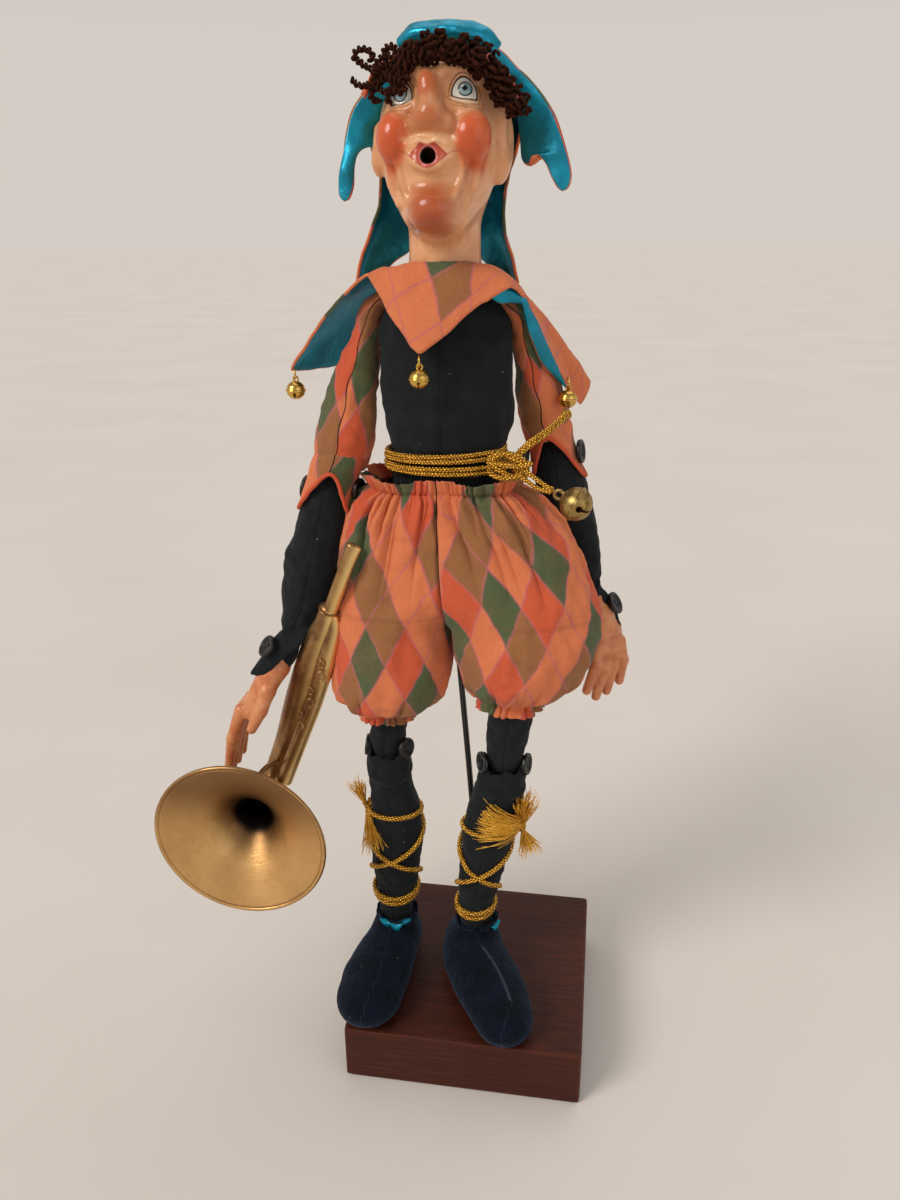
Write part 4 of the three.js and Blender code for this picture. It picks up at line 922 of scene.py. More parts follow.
CALF_R = [[-38.2, -1, 126.5, 5.5, 5], [-37.6, 0, 122, 8.6, 8], [-36.2, 0, 110, 10.1, 9.6], [-35.7, 0.5, 95, 11, 11], [-35.8, 1, 82, 11, 11], [-36.6, 0.5, 68, 9.6, 9.4], [-36.5, 0, 52, 7.4, 7.2], [-36.6, 0, 41, 6.6, 6.4]]
CALF_L = [[11, -2, 124.5, 6, 5], [10, -1, 120, 9.8, 9], [8.8, 0, 112, 11, 10], [6, 0.5, 99, 11.2, 11], [3.9, 1, 88, 10.4, 10.6], [1.7, 0.5, 73, 9.2, 9.2], [-0.3, 0, 56, 7.4, 7.2], [0.1, 0, 43, 6.6, 6.4]]
UPPER_R = [[-31, 0, 319, 3, 4], [-38, 0, 313.5, 4, 5.4], [-40.4, 0, 306, 4.8, 6.8], [-42.6, 0, 297.5, 6.4, 8.8], [-45.8, 0, 287, 8.6, 10], [-49.2, 0, 272, 11, 11.5], [-51.4, 0, 263, 10.9, 11.2], [-52.4, -0.2, 258.4, 9.8, 9.6]]
FORE_R = [[-55.4, -2.2, 254.2, 4.4, 4.2], [-56.8, -2.2, 249.6, 6.8, 6.2], [-58.4, -2.2, 242, 8.8, 7.8], [-61.5, -3, 227, 11.2, 10.5], [-64.2, -3, 215, 12.6, 11.5], [-68.4, -3.5, 200.5, 10.6, 9.5], [-73, -4.5, 191, 7.2, 6.5], [-75.5, -5.5, 186.5, 4.6, 4.6]]
UPPER_L = [[6.5, 1, 319, 3, 4], [14, 3.5, 313, 4, 5.4], [16.4, 7, 305.5, 4.8, 6.8], [18.4, 10.5, 297, 6.2, 8.6], [20.8, 15, 286, 8.4, 9.6], [23, 20, 275, 9.6, 10.6], [24.2, 22.4, 269.2, 8.8, 9.4]]
FORE_L = [[25.4, 22.8, 264.6, 4.2, 4.2], [26.6, 23.2, 260.2, 6.6, 6.0], [28.4, 23.2, 253.5, 8.6, 7.6], [32, 22.6, 239, 10.4, 9.6], [36, 21.4, 225, 10.2, 9.4], [40.8, 18.6, 211.5, 7.6, 7], [43.4, 16.8, 204, 4.6, 4.4]]

# ---------- stand ----------
part = Part()
bm_h, bm_e = 50.0, 1.3


def rounded_block(part, half, z0, z1, e, k=4, n=26):
    """A block with rolled edges, its faces cut fine enough to hold slight unevenness."""
    def axis(h):
        q = np.linspace(0, math.pi / 2, k + 1)
        side = np.r_[-h + e - e * np.cos(q[:-1]) * 1.0, np.linspace(-h + e, h - e, n), (h - e + e * np.sin(q[1:]))]
        return side
    lo, hi = A([-half, -half, z0]), A([half, half, z1])
    c, h = (lo + hi) / 2, (hi - lo) / 2
    for d in range(3):
        a, b = (d + 1) % 3, (d + 2) % 3
        for s in (-1, 1):
            U = np.tan(np.linspace(-1, 1, 31) * math.pi / 4)
            X, Y = np.meshgrid(np.sign(U) * np.abs(U) ** 0.55, np.sign(U) * np.abs(U) ** 0.55, indexing="ij")
            P = np.zeros((31, 31, 3))
            P[..., a], P[..., b], P[..., d] = X * h[a], Y * h[b], s * h[d]
            inner = np.clip(P, -(h - e), h - e)
            v = P - inner
            P = inner + unit(v) * e
            F = grid_faces(31, 31)
            part.add(c + P.reshape(-1, 3), F if s > 0 else F[:, ::-1])


rounded_block(part, 50.0, 0.0, 26.0, 1.3)
base = part.make("base_block", [MAT["wood"]], "stained_wood", "base")

part = Part()
sweep(part, even([[-1, 20, 16], [-1, 20, 25.5], [-0.8, 19.6, 32], [-2.0, 17.6, 66], [-5.2, 14.0, 120], [-11.2, 9, 206]], 1.5), 1.3, 20)
part.make("stand_rod_tube", [MAT["rod"]], "black_rod", "stand_rod")

# ---------- torso ----------
w_small, w_mid, w_big = Waves(3, 4.5), Waves(5, 11), Waves(8, 24)


def seam_mark(front=0.75, offset=0.0, wig=0.0):
    """Marks a seam line that runs down the piece at the given turn."""
    def f(q, x):
        d = q[..., 0] - offset + wig * np.sin(q[..., 1] * 0.35)
        q[..., 2] = np.where(np.abs(d) < 6, d, 6)
        return q
    return f


def groove(q, at, w=0.5, deep=0.3):
    d = (q - at + 0.5) % 1 - 0.5
    return d


def torso_shape(u, s, P):
    front = np.abs((u - 0.75 + 0.5) % 1 - 0.5) * 120
    side = np.minimum(np.abs((u + 0.5) % 1 - 0.5), np.abs((u - 0.5 + 0.5) % 1 - 0.5)) * 120
    belt = bell(P[..., 2] - 261.2, 3.2)
    tucks = np.sin(u * TAU * 19 + 2 * np.sin(u * TAU * 3)) * bell(P[..., 2] - 255, 7) * 0.45
    return -0.28 * bell(front, 0.7) - 0.35 * bell(side, 0.8) - 0.9 * belt + tucks + 0.35 * w_mid(P) + 0.5 * w_big(P) + 0.07 * w_small(P)


part = Part()
loft(part, TORSO, 124, 1.1, shape=torso_shape, pattern=seam_mark(offset=0.0))
part.make("torso_cloth", [MAT["black"]], "black_cloth", "torso")


# ---------- arms and legs ----------
def limb_shape(seed, amp=0.3, seams=(0.75,), girth=60, ends=None):
    wa, wb, wc = Waves(seed, 6), Waves(seed + 1, 14), Waves(seed + 2, 2.6)

    def f(u, s, P):
        h = amp * 0.7 * wa(P) + amp * wb(P) + 0.06 * wc(P)
        for at in seams:
            d = np.abs((u - at + 0.5) % 1 - 0.5) * girth
            h = h - 0.3 * bell(d, 0.6) + 0.06 * np.sin(s * TAU / 1.9) * bell(d, 1.5)
        return h
    return f


def shifted(dx, dy, mirror=False, seam=True, side_shift=7.0, wig=0.25):
    """Lays the printed cloth on a limb: two panels that meet at the front seam."""
    def f(q, x):
        d = q[..., 0] + wig * np.sin(q[..., 1] * 0.4)
        q = q.copy()
        q[..., 2] = np.where(np.abs(d) < 6, d, 6) if seam else 6
        mid = x.mean(1, keepdims=True) if x.ndim == 2 else x
        q[..., 0] = q[..., 0] * (-1 if mirror else 1) + dx + np.where(mid > 0, side_shift, 0)
        q[..., 1] += dy
        return q
    return f


def rows_of(line, gap, depth=(0, 1, 0)):
    t = np.linspace(0, 1, 500)
    C = ease(line, t)
    L = arc(C[:, :3])
    m = max(int(L[-1] / gap), 6) + 1
    R = ease(line, np.interp(np.linspace(0, L[-1], m), L, t))
    T = unit(np.gradient(R[:, :3], axis=0))
    S = unit(np.cross(T, A(depth)))
    return R, T, S, np.cross(S, T)


part = Part()
loft(part, UPPER_R, 84, 0.95, shape=limb_shape(11, 0.32, (0.75, 0.25), 62), pattern=shifted(2.0, -6.0, False, wig=0.5))


def print_cell(i, j, W=15.4, H=30.0):
    """Middle of one diamond on the printed cloth."""
    a, b = i + 0.5, j + 0.5
    return A([W * (a - b) / 2, H * (a + b) / 2])


def lay_print(part, at, cell, k0=0):
    """Slides the print on the last form so that the given cell's middle falls at a point. Returns nothing; the corners are changed in place."""
    V = np.concatenate(part.V)
    best = None
    for k in range(k0, len(part.F)):
        P = V[part.F[k].reshape(-1)]
        d = ((P - A(at)) ** 2).sum(1)
        i = int(np.argmin(d))
        if best is None or d[i] < best[0]:
            best = (d[i], part.C[k][i, :2].copy())
    move = print_cell(*cell) - best[1]
    for k in range(k0, len(part.C)):
        part.C[k] = part.C[k] + np.r_[move, 0.0]


def print_at(part, at):
    """The print's coordinate at the corner nearest to a point."""
    V = np.concatenate(part.V)
    return min((((V[F.reshape(-1)] - A(at)) ** 2).sum(1).min(), tuple(C[int(np.argmin(((V[F.reshape(-1)] - A(at)) ** 2).sum(1)))])) for F, C in zip(part.F, part.C))[1]


def sleeve_skirt(part, table, ztop, base, drops, seed, na=168, nv=30):
    """The sleeve's mouth: it follows the forearm and is cut away at front and back, so that it ends in two tongues with a rolled edge.
    table rows are z, middle x, middle y, half width, half depth."""
    Tb = A(sorted(table))
    a = TAU * np.arange(na) / na
    v = np.linspace(0, 1, nv)[None]
    drop = np.where(np.cos(a) < 0, drops[0], drops[1]) * np.abs(np.cos(a)) ** np.where(np.cos(a) < 0, 1.5, 1.9)
    reach = base + drop + 0.4 * np.sin(3 * a + seed)
    z = ztop - reach[:, None] * v
    cx, cy, rx, ry = (np.interp(z, Tb[:, 0], Tb[:, k]) for k in (1, 2, 3, 4))
    W = Waves(seed, 8)
    P = np.stack([cx + rx * np.cos(a)[:, None], cy + ry * np.sin(a)[:, None], z], -1)
    out = np.stack([np.cos(a)[:, None] + 0 * z, np.sin(a)[:, None] + 0 * z, 0 * z], -1)
    P = P + (0.2 * W(P) + 0.45 * v**3 - 1.3 * step01(0.22, 0.0, v))[..., None] * out
    V = P.reshape(-1, 3)
    F = grid_faces(na, nv, True, False)
    if (normals(V, F) * out.reshape(-1, 3)).sum(1).mean() < 0:
        F = F[:, ::-1]
    aa = (a + 0.5 * math.pi + math.pi) % TAU - math.pi
    front = int(round(0.75 * na))
    here = print_at(part, P[front, 3])
    x = aa[:, None] * 10.4 + 0 * v
    cl = np.stack([x + here[0], v * reach[:, None] + here[1] - v[0, 3] * reach[front], np.where(np.abs(x) < 6, x, 6.0)], -1).reshape(-1, 3)
    W2, FF, M2, src = solidify(V, F, 0.9)
    part.add(W2, FF, 0, cl[src])
    # the rolled edge, in the lighter orange
    edge = P[:, -1] + out[:, -1] * 0.1
    edge = np.vstack([edge, edge[:1]])
    k = len(part.C)
    sweep(part, edge, 0.8, 9, 0, closed=True)
    part.C[k] = np.tile(np.r_[print_cell(1, 1), 6.0], (len(part.C[k]), 1))
    return part


lay_print(part, (-38.7, -7.5, 294.2), (0, 0))
SKIRT_R = [[236, -59.0, -2.6, 10.2, 9.2], [242, -58.4, -2.4, 10.2, 9.2], [248, -57.0, -1.8, 9.9, 9.2], [255, -54.6, -0.8, 10.2, 9.8], [260, -52.2, -0.2, 11.1, 11.1], [265, -50.8, 0, 11.4, 11.7]]
sleeve_skirt(part, SKIRT_R, 264.0, 8.6, (15.6, 18.6), 21)
part.make("upper_arm_right_cloth", [MAT["print"]], "print_cloth", "upper_arm_right")

part = Part()
loft(part, UPPER_L, 84, 0.95, shape=limb_shape(31, 0.32, (0.75, 0.25), 58), pattern=shifted(5.0, 8.0, False, wig=0.5))
lay_print(part, (20.4, 12.0, 277.6), (1, 0))
SKIRT_L = [[246, 30.4, 22.8, 9.9, 9.2], [252, 28.9, 23.1, 9.9, 9.1], [258, 27.4, 23.3, 9.5, 9.0], [264, 25.4, 22.9, 9.5, 9.5], [270, 24.1, 22.0, 10.0, 10.6], [275, 23.1, 20.2, 10.2, 11.0]]
sleeve_skirt(part, SKIRT_L, 274.4, 8.4, (17.0, 16.0), 22)
part.make("upper_arm_left_cloth", [MAT["print"]], "print_cloth", "upper_arm_left")


def petal(part, pts, w, lift, out, mat=0, seed=2, thick=1.0, tip=0.5, nu=13):
    """A wrist petal: a narrow tongue of cloth that follows a bent line, cupped over the hand."""
    C = even(pts, 0.7)
    T = unit(np.gradient(C, axis=0))
    out = unit(out)
    side = unit(np.cross(T, out))
    O = np.cross(side, T)
    v = np.linspace(0, 1, len(C))
    width = w * (1 - (1 - tip) * v**2) * np.sqrt(np.clip(1 - ((v - 0.82).clip(0) / 0.19) ** 2, 0.03, 1))
    u = np.linspace(-1, 1, nu)
    P = C[None] + side[None] * (u[:, None] * width)[..., None] - O[None] * (lift * u[:, None] ** 2 * (1 + 0 * v))[..., None]
    P = P + (0.2 * Waves(seed, 5)(P))[..., None] * O[None]
    V = P.reshape(-1, 3)
    F = grid_faces(nu, len(C))
    if (normals(V, F) * np.broadcast_to(O[None], P.shape).reshape(-1, 3)).sum(1).mean() < 0:
        F = F[:, ::-1]
    cl = np.stack([u[:, None] * w + 0 * v, v * 12 + 0 * u[:, None], np.full(P.shape[:2], 6.0)], -1).reshape(-1, 3)
    W2, FF, M2, src = solidify(V, F, thick)
    part.add(W2, FF, mat, cl[src])


part = Part()
loft(part, FORE_R, 76, 1.05, shape=limb_shape(41, 0.3, (0.75,), 66), pattern=seam_mark())
petal(part, [[-69.5, -8.4, 196.0], [-74.6, -11.6, 190.4], [-79.6, -13.4, 186.4], [-85.0, -14.0, 180.0], [-91.2, -13.6, 172.2]], 6.6, 2.6, (-0.5, -0.62, 0.6), 0, 51, thick=1.5)
petal(part, [[-70.6, -9.4, 195.0], [-72.8, -12.6, 187.0], [-74.4, -13.2, 176.0]], 4.6, 2.0, (0.5, -0.86, 0.1), 0, 52, thick=1.2)
part.make("forearm_right_cloth", [MAT["black"]], "black_cloth", "forearm_right")
part = Part()
loft(part, FORE_L, 76, 1.05, shape=limb_shape(45, 0.3, (0.75,), 60), pattern=seam_mark())
petal(part, [[42.0, 16.2, 211.5], [47.0, 15.0, 206.0], [52.0, 14.8, 200.0], [57.0, 15.2, 190.5]], 7.0, 3.6, (0.66, -0.42, 0.62), 0, 53, thick=1.3)
petal(part, [[41.4, 13.6, 209.5], [42.2, 11.2, 202.6], [44.0, 10.4, 194.0]], 5.6, 2.6, (-0.2, -0.95, 0.1), 0, 54, thick=1.2)
part.make("forearm_left_cloth", [MAT["black"]], "black_cloth", "forearm_left")

def knee_cup(part, low, high, r0, q0, r1, q1, dip, rise, seed, na=120, nv=22):
    """The shin's top: a cloth cup round the knee, cut into two long tongues at the sides and short ones in front and behind."""
    a = TAU * np.arange(na) / na
    v = np.linspace(0, 1, nv)[None]
    side = np.abs(np.cos(a)) ** 3.2
    front = np.abs(np.sin(a)) ** 6
    top = dip + (rise - dip) * side + 3.2 * front + 0.7 * np.sin(5 * a + seed) + 0.4 * np.sin(11 * a + 2 * seed)
    h = top[:, None] * v
    L = np.linalg.norm(A(high) - A(low))
    f = np.clip(h / L, 0, 1)
    c = A(low) + (A(high) - A(low)) * f[..., None]
    puff = 0.5 * np.sin(h / L * math.pi) + 0.35 * np.sin(7 * a + seed)[:, None] * v
    puff = puff - 3.0 * step01(0.3, 0.0, f)
    rx = r0 + (r1 - r0) * f + puff
    ry = q0 + (q1 - q0) * f + puff * 0.8
    P = c + np.stack([rx * np.cos(a)[:, None], ry * np.sin(a)[:, None], 0 * rx], -1)
    P = P + (0.28 * Waves(seed, 6)(P))[..., None] * unit(P - c)
    V = P.reshape(-1, 3)
    F = grid_faces(na, nv, True, False)
    W2, FF, M2, src = solidify(V, F, 1.0, inner=0)
    cl = np.stack([a[:, None] * 9.5 + 0 * v, h, np.full((na, nv), 6.0)], -1).reshape(-1, 3)
    part.add(W2, FF, 0, cl[src])


for side, th, ca in (("right", THIGH_R, CALF_R), ("left", THIGH_L, CALF_L)):
    part = Part()
    loft(part, th, 80, 0.9, shape=limb_shape(61 + len(side), 0.28, (0.75,), 46), pattern=seam_mark())
    part.make(f"thigh_{side}_cloth", [MAT["black"]], "black_cloth", f"thigh_{side}")
    part = Part()
    loft(part, ca, 74, 1.05, shape=limb_shape(71 + len(side), 0.28, (0.75,), 60), pattern=seam_mark())
    if side == "right":
        knee_cup(part, (-37.8, -1, 117.0), (-37.4, -1.2, 139.5), 9.7, 9.0, 8.3, 7.2, 13.5, 22.0, 81)
    else:
        knee_cup(part, (10.2, -2, 114.5), (11.8, -2.4, 136.8), 10.4, 9.2, 9.0, 6.9, 13.5, 21.5, 83)
    part.make(f"shin_{side}_cloth", [MAT["black"]], "black_cloth", f"shin_{side}")

# ---------- shoes ----------
SHOES = {
    "right": ([[-36.5, 8, 35, 7.6, 8, 8.5], [-37.4, 1, 35.6, 9.8, 10, 9.6], [-38.6, -12, 35.6, 12.6, 12, 10.4], [-40.8, -27, 34.6, 14.2, 13, 9.4], [-41.4, -40, 33.0, 13.0, 13, 8.2]], (-36.6, 0)),
    "left": ([[-3.0, 8, 35, 9.4, 8, 8.5], [-2.6, 1, 35.6, 12.0, 10, 9.6], [2.0, -12, 35.6, 14.8, 12, 10.4], [9.8, -27, 34.6, 14.8, 13, 9.4], [17.4, -41.5, 33, 11.8, 13, 8.0]], (0.2, 0)),
}


def shoe_field(foot, ankle, seed):
    W1, W2 = Waves(seed, 12), Waves(seed + 1, 2.6)

    def f(P):
        d = None
        for x, y, z, rx, ry, rz in ease(foot, np.linspace(0, 1, 15)):
            q = ell(P, (x, y, z), (rx, ry, rz))
            d = q if d is None else smin(d, q, 2.2)
        leg = cap(P, (ankle[0], ankle[1], 36), (ankle[0], ankle[1], 47.5), 9.6, 9.2)
        d = smin(d, leg, 5)
        d = smax(d, P[:, 2] - 49.0, 1.2)
        d = smax(d, 26.35 - P[:, 2], 1.6)
        return d + 0.1 * W1(P) + 0.03 * W2(P)
    return f


def cuff(part, ankle, z0, r0, teeth, seed, height, flare):
    """Petals round the shoe's mouth, cut from velvet lined with satin; flare(angle) turns them out."""
    na, nv = 160, 12
    a = TAU * np.arange(na) / na
    v = np.linspace(0, 1, nv)[None]
    tooth = np.abs(np.sin(a * teeth / 2 + 0.4 + 0.4 * np.sin(a + seed))) ** 0.7
    top = height * (0.4 + 0.6 * tooth) * (1 + 0.2 * np.sin(a * 2 + seed))
    out = (flare(a) * (0.4 + 0.6 * tooth))[:, None] * v**1.5
    r = r0 + out
    P = np.stack([ankle[0] + r * np.cos(a)[:, None], ankle[1] + r * np.sin(a)[:, None], z0 + top[:, None] * v - 0.25 * out * v], -1)
    P = P + 0.3 * Waves(seed + 3, 4)(P)[..., None] * unit(P - A([ankle[0], ankle[1], z0]))
    V = P.reshape(-1, 3)
    F = grid_faces(na, nv, True, False)
    W2, FF, M2, src = solidify(V, F, 0.8, inner=1, rim=0)
    cl = np.stack([a[:, None] * 9 + 0 * v, top[:, None] * v, np.full((na, nv), 6.0)], -1).reshape(-1, 3)
    part.add(W2, FF, M2, cl[src])


for side, (foot, ankle) in SHOES.items():
    f = shoe_field(foot, ankle, 90 + len(side))
    V, F = net(f, (-60 if side == "right" else -16, -56, 25), (-20 if side == "right" else 34, 20, 52), 0.98)
    mid = ease([[p[0], p[1]] for p in foot], np.linspace(0, 1, 60))
    x_mid = np.interp(V[:, 1], mid[::-1, 1], mid[::-1, 0])
    ridge = x_mid + 2.6 * np.sin((V[:, 1] + 14) * 0.09) * -1 + 1.2
    cl = np.stack([V[:, 0], V[:, 1], np.where((V[:, 2] > 33) & (V[:, 1] < -15) & (V[:, 1] > -40) & (side == "left"), V[:, 0] - ridge, np.sign(V[:, 0] - ridge + 1e-9) * 6)], 1)
    part = Part()
    part.add(V, F, 0, cl)
    if side == "right":
        cuff(part, ankle, 46.0, 9.3, 7, 5, 5.4, lambda a: 0.3 + 2.6 * np.exp(-(((a - 4.9) / 0.55) ** 2)))
    else:
        cuff(part, ankle, 46.0, 9.3, 6, 9, 5.0, lambda a: 0.3 + 1.0 * np.exp(-(((a - 5.4) / 0.5) ** 2)))
    # the satin lining where the cuff turns down in front
    for a0, a1, tall in (((-2.1, -0.8, 4.6),) if side == "right" else ((-0.75, -0.2, 3.0),)):
        a = np.linspace(a0, a1, 70)[:, None]
        v = np.linspace(0, 1, 16)[None]
        t = (a - a0) / (a1 - a0)
        h = tall * (0.45 + 0.55 * np.abs(np.sin(t * math.pi * 2.5 + 0.5))) * np.sin(np.clip(t, 0.03, 0.97) * math.pi) ** 0.5
        r = 9.9 + 1.5 * np.sin(v * 2.2) + 0.35 * np.sin(a * 9 + 1) * v
        P = np.stack([ankle[0] + r * np.cos(a), ankle[1] + r * np.sin(a), 50.6 - h * v + 0.5 * np.sin(a * 6 + 1) + 0.5 * np.sin(v * math.pi)], -1)
        V2, F2 = P.reshape(-1, 3), grid_faces(70, 16)
        if (normals(V2, F2) * (V2 - A([ankle[0], ankle[1], 46]))).sum(1).mean() < 0:
            F2 = F2[:, ::-1]
        W2, FF, M2, src = solidify(V2, F2, 0.6)
        part.add(W2, FF, 1, A(P.reshape(-1, 3))[src])
    part.make(f"shoe_{side}_velvet", [MAT["velvet"], MAT["teal"]], "velvet", f"shoe_{side}")

# ---------- bloomers ----------
LEG_R = [[-26, 1, 254.5, 16.4, 17.4], [-26, 1, 249.6, 15.4, 16.4], [-28, 1, 241, 20.5, 18.5], [-31, 0.5, 224, 23.5, 20.8], [-34, 0, 205, 24.4, 23.4], [-34, -1, 186, 24.8, 24.8], [-34.6, -2, 171, 24.4, 23.8], [-36.0, -2, 161.5, 20.5, 20], [-37.4, -1.5, 157.0, 13.5, 13], [-37.6, -1.5, 155.0, 9.2, 9.6], [-37.6, -1.5, 151.6, 11.4, 11.4]]
LEG_L = [[1, 1, 254.5, 16.4, 17.4], [1, 1, 249.6, 15.4, 16.4], [5, 1, 241, 21, 19], [12, -1, 226, 26.0, 21.0], [18, -3, 207, 29.4, 24.4], [19.5, -4, 191, 28.8, 26], [18.5, -4, 178.5, 25.4, 23.8], [17, -3.5, 170.5, 20.0, 19.0], [15, -3, 166.4, 14, 13.4], [14.4, -3, 164.4, 11.0, 11.0], [14.2, -3, 161.0, 13.0, 12.8]]
SEAM_X = [(256, -13.2), (240, -12.6), (222, -11.2), (205, -9.4), (190, -8.6), (150, -8.6)]


def pleat(x):
    """Round ridges with narrow valleys between them, from -1 to 1."""
    return 2 * np.abs(np.sin(x / 2)) ** 0.5 - 1


def bloomer_half(part, line, sign, seed, anchor, cell, around=400, mirror=False):
    t = np.linspace(0, 1, 500)
    C = ease(line, t)
    Ls = arc(C[:, :3])
    n = 84
    g = 1 / (0.55 + 0.75 * step01(16, 34, Ls) * step01(Ls[-1] - 10, Ls[-1] - 24, Ls))
    G1 = np.r_[0, np.cumsum((g[1:] + g[:-1]) / 2 * np.diff(Ls))]
    at = np.interp(np.linspace(0, G1[-1], n), G1, t)
    R = ease(line, at)
    c = R[:, :3]
    z = c[:, 2][:, None]
    u = np.arange(around) / around
    a = TAU * u
    ca, sa = np.cos(a)[None], np.sin(a)[None]
    rx, ry = np.maximum(R[:, 3:4], 1), np.maximum(R[:, 4:5], 1)
    rleg = 1 / np.sqrt((ca / rx) ** 2 + (sa / ry) ** 2)
    zs, xs = zip(*SEAM_X[::-1])
    plane = np.interp(z, zs, xs)
    gapx = plane - c[:, 0:1]
    toward = np.where(ca * gapx > 1e-4, gapx / np.where(np.abs(ca) < 1e-4, 1e-4, ca), 1e3)
    body = step01(196, 214, z)
    wall = ry * (1 - 0.04 * step01(0, 1, np.sign(gapx) * ca))
    facing = step01(0.0, 0.35, np.sign(gapx) * ca)
    want = np.minimum(wall / np.maximum(np.abs(sa), 0.05), 70)
    full = rleg * (1 - facing * body) + np.maximum(rleg, want) * facing * body
    r = smin(full, np.abs(toward), 0.8)
    clipped = np.abs(toward) < full - 0.25
    P = np.stack([c[:, 0:1] + r * ca, c[:, 1:2] + r * sa, z + 0 * r], -1)
    # cloth across: true width from the leg's front, a little more where it is gathered
    step = np.linalg.norm(np.roll(P, -1, 1) - P, axis=-1)
    k0 = int(round(0.75 * around))
    X = np.concatenate([np.zeros((n, 1)), np.cumsum(np.roll(step, -k0, 1), 1)[:, :-1]], 1)
    total = step.sum(1, keepdims=True)
    X = np.where(X > total / 2, X - total, X)
    X = np.roll(X, k0, 1)
    ztop, zel, zcuff = c[0, 2], c[0, 2] - 4.9, c[-1, 2] + 3.2
    X = X * (1 + 0.45 * step01(zel - 26, zel, z) + 0.5 * step01(zcuff + 8, zcuff, z))
    Y = np.broadcast_to(arc(c)[:, None], r.shape)
    # gathers
    wob = 1.2 * np.sin(3 * a + seed)[None] + 0.8 * np.sin(7 * a + 2 * seed)[None] + 0.5 * np.sin(12 * a + 3 * seed)[None]
    fine = pleat(a * 27 + 2.6 * wob)
    tiny = pleat(a * 48 + 3.0 * wob + 0.5)
    mid = pleat(a * 13 + 2.2 * wob + 0.02 * (ztop - z) + 1.0)
    big = pleat(a * 7 + 1.4 * wob + 2.0)
    below = (z < zel)
    d = zel - z
    amp_f = np.where(below, 2.9 * np.exp(-((d / 10.0) ** 2)), 0.9 + 0.5 * step01(0, 5, -d))
    strength = 0.65 + 0.35 * np.sin(5 * a + seed * 1.3)[None]
    h = fine * amp_f * strength + tiny * np.where(below, 0.85 * np.exp(-((d / 5.0) ** 2)), 0.95) - 1.7 * bell(z - zel, 1.0)
    h = h + below * (2.1 * mid * bell(d - 8, 10) * strength + 1.6 * big * bell(d - 18, 15))
    h = h + 0.9 * step01(2, 12, d) * bell(d - 12, 12)
    cf = pleat(a * 19 + 2.0 * wob + 0.6)
    cm = pleat(a * 10 + 1.2 * wob)
    hz = z - zcuff
    h = h + cf * np.where(hz > 0, 1.4 * np.exp(-((hz / 4.2) ** 2)), 1.2) + 1.8 * cm * bell(hz - 6, 6.5)
    h = h + 0.55 * Waves(seed, 15)(P) + 0.32 * Waves(seed + 1, 7)(P) + 0.05 * Waves(seed + 2, 2.2)(P)
    near = np.where(clipped, 0.0, step01(0.0, 3.0, np.abs(P[..., 0] - plane)) * 0.85 + 0.15)
    near = np.where(z > 203, near, step01(0.0, 3.0, np.abs(P[..., 0] - plane)) * 0.9 + 0.1)
    h = h - 0.5 * bell(P[..., 0] - plane, 0.9) * (z > 203) * (1 - clipped)
    P = P + (h * near)[..., None] * np.stack([ca + 0 * z, sa + 0 * z, 0 * r], -1)
    over = sign * (P[..., 0] - plane) > 0
    P[..., 0] = np.where(over, plane + 0 * r, P[..., 0])
    P[..., 2] += np.where(z > zel, (0.45 * fine + 0.8 * np.sin(a * 5 + seed)[None]) * step01(zel, ztop, z), 0)
    # hems turned in at the waist and the cuff
    rows = np.r_[5, 0, np.arange(n), n - 1, n - 6]
    inset = np.r_[1.5, 0.8, np.zeros(n), 0.8, 1.5][:, None, None]
    P = P[rows] - inset * np.stack([ca + 0 * a[None], sa + 0 * a[None], 0 * sa], -1)
    X, Y, z, c, clipped, plane, total = (q[rows] for q in (X, Y, z, c, clipped, plane, total))
    n += 4
    V = P.reshape(-1, 3)
    F = grid_faces(n, around, False, True)
    cut = (clipped & (z > 203)).reshape(-1)
    F = F[~cut[F].all(1)]
    if ((V[F].mean(1) - c[F[:, 0] // around]) * np.cross(V[F[:, 1]] - V[F[:, 0]], V[F[:, 3]] - V[F[:, 0]])).sum(1).mean() < 0:
        F = F[:, ::-1]
    Z = np.where((z > 203) & (P[..., 1] < 0), P[..., 0] - plane, 6)
    used = np.unique(F)
    remap = np.full(len(V), -1)
    remap[used] = np.arange(len(used))
    W2, FF = V[used], [remap[F]]
    src = np.arange(len(used))
    cl = np.stack([X, Y, Z], -1).reshape(-1, 3)
    if mirror:
        cl[:, 0] *= -1
    near_it = np.argmin(((V - A(anchor)) ** 2).sum(1))
    shift = print_cell(*cell) - cl[near_it, :2]
    cl = cl[used][src]
    cl[:, :2] += shift
    span = np.repeat(total, around, 1).reshape(-1)[used][src]
    corners = []
    for f in FF:
        q = cl[f]
        x = q[..., 0]
        lo = x.min(1, keepdims=True)
        q[..., 0] = np.where(x - lo > 60, x - span[f] * (1 + 0 * x), x)
        corners.append(q)
    part.add(W2, FF, 0, _stack(*corners))


part = Part()
bloomer_half(part, LEG_R, 1, 101, (-31.9, -26.0, 199.7), (-1, 0), mirror=True)
bloomer_half(part, LEG_L, -1, 107, (12.7, -30.0, 211.5), (0, 0))
bloomers = part.make("bloomers_cloth", [MAT["print"]], "print_cloth", "bloomers")

# ---------- collar ----------
def facing(P):
    """Turns a grid so that its surface looks to the front."""
    m = (P.shape[0] // 2, P.shape[1] // 2)
    n = np.cross(P[m[0] + 1, m[1]] - P[m], P[m[0], m[1] + 1] - P[m])
    return P[::-1] if n[1] > 0 else P


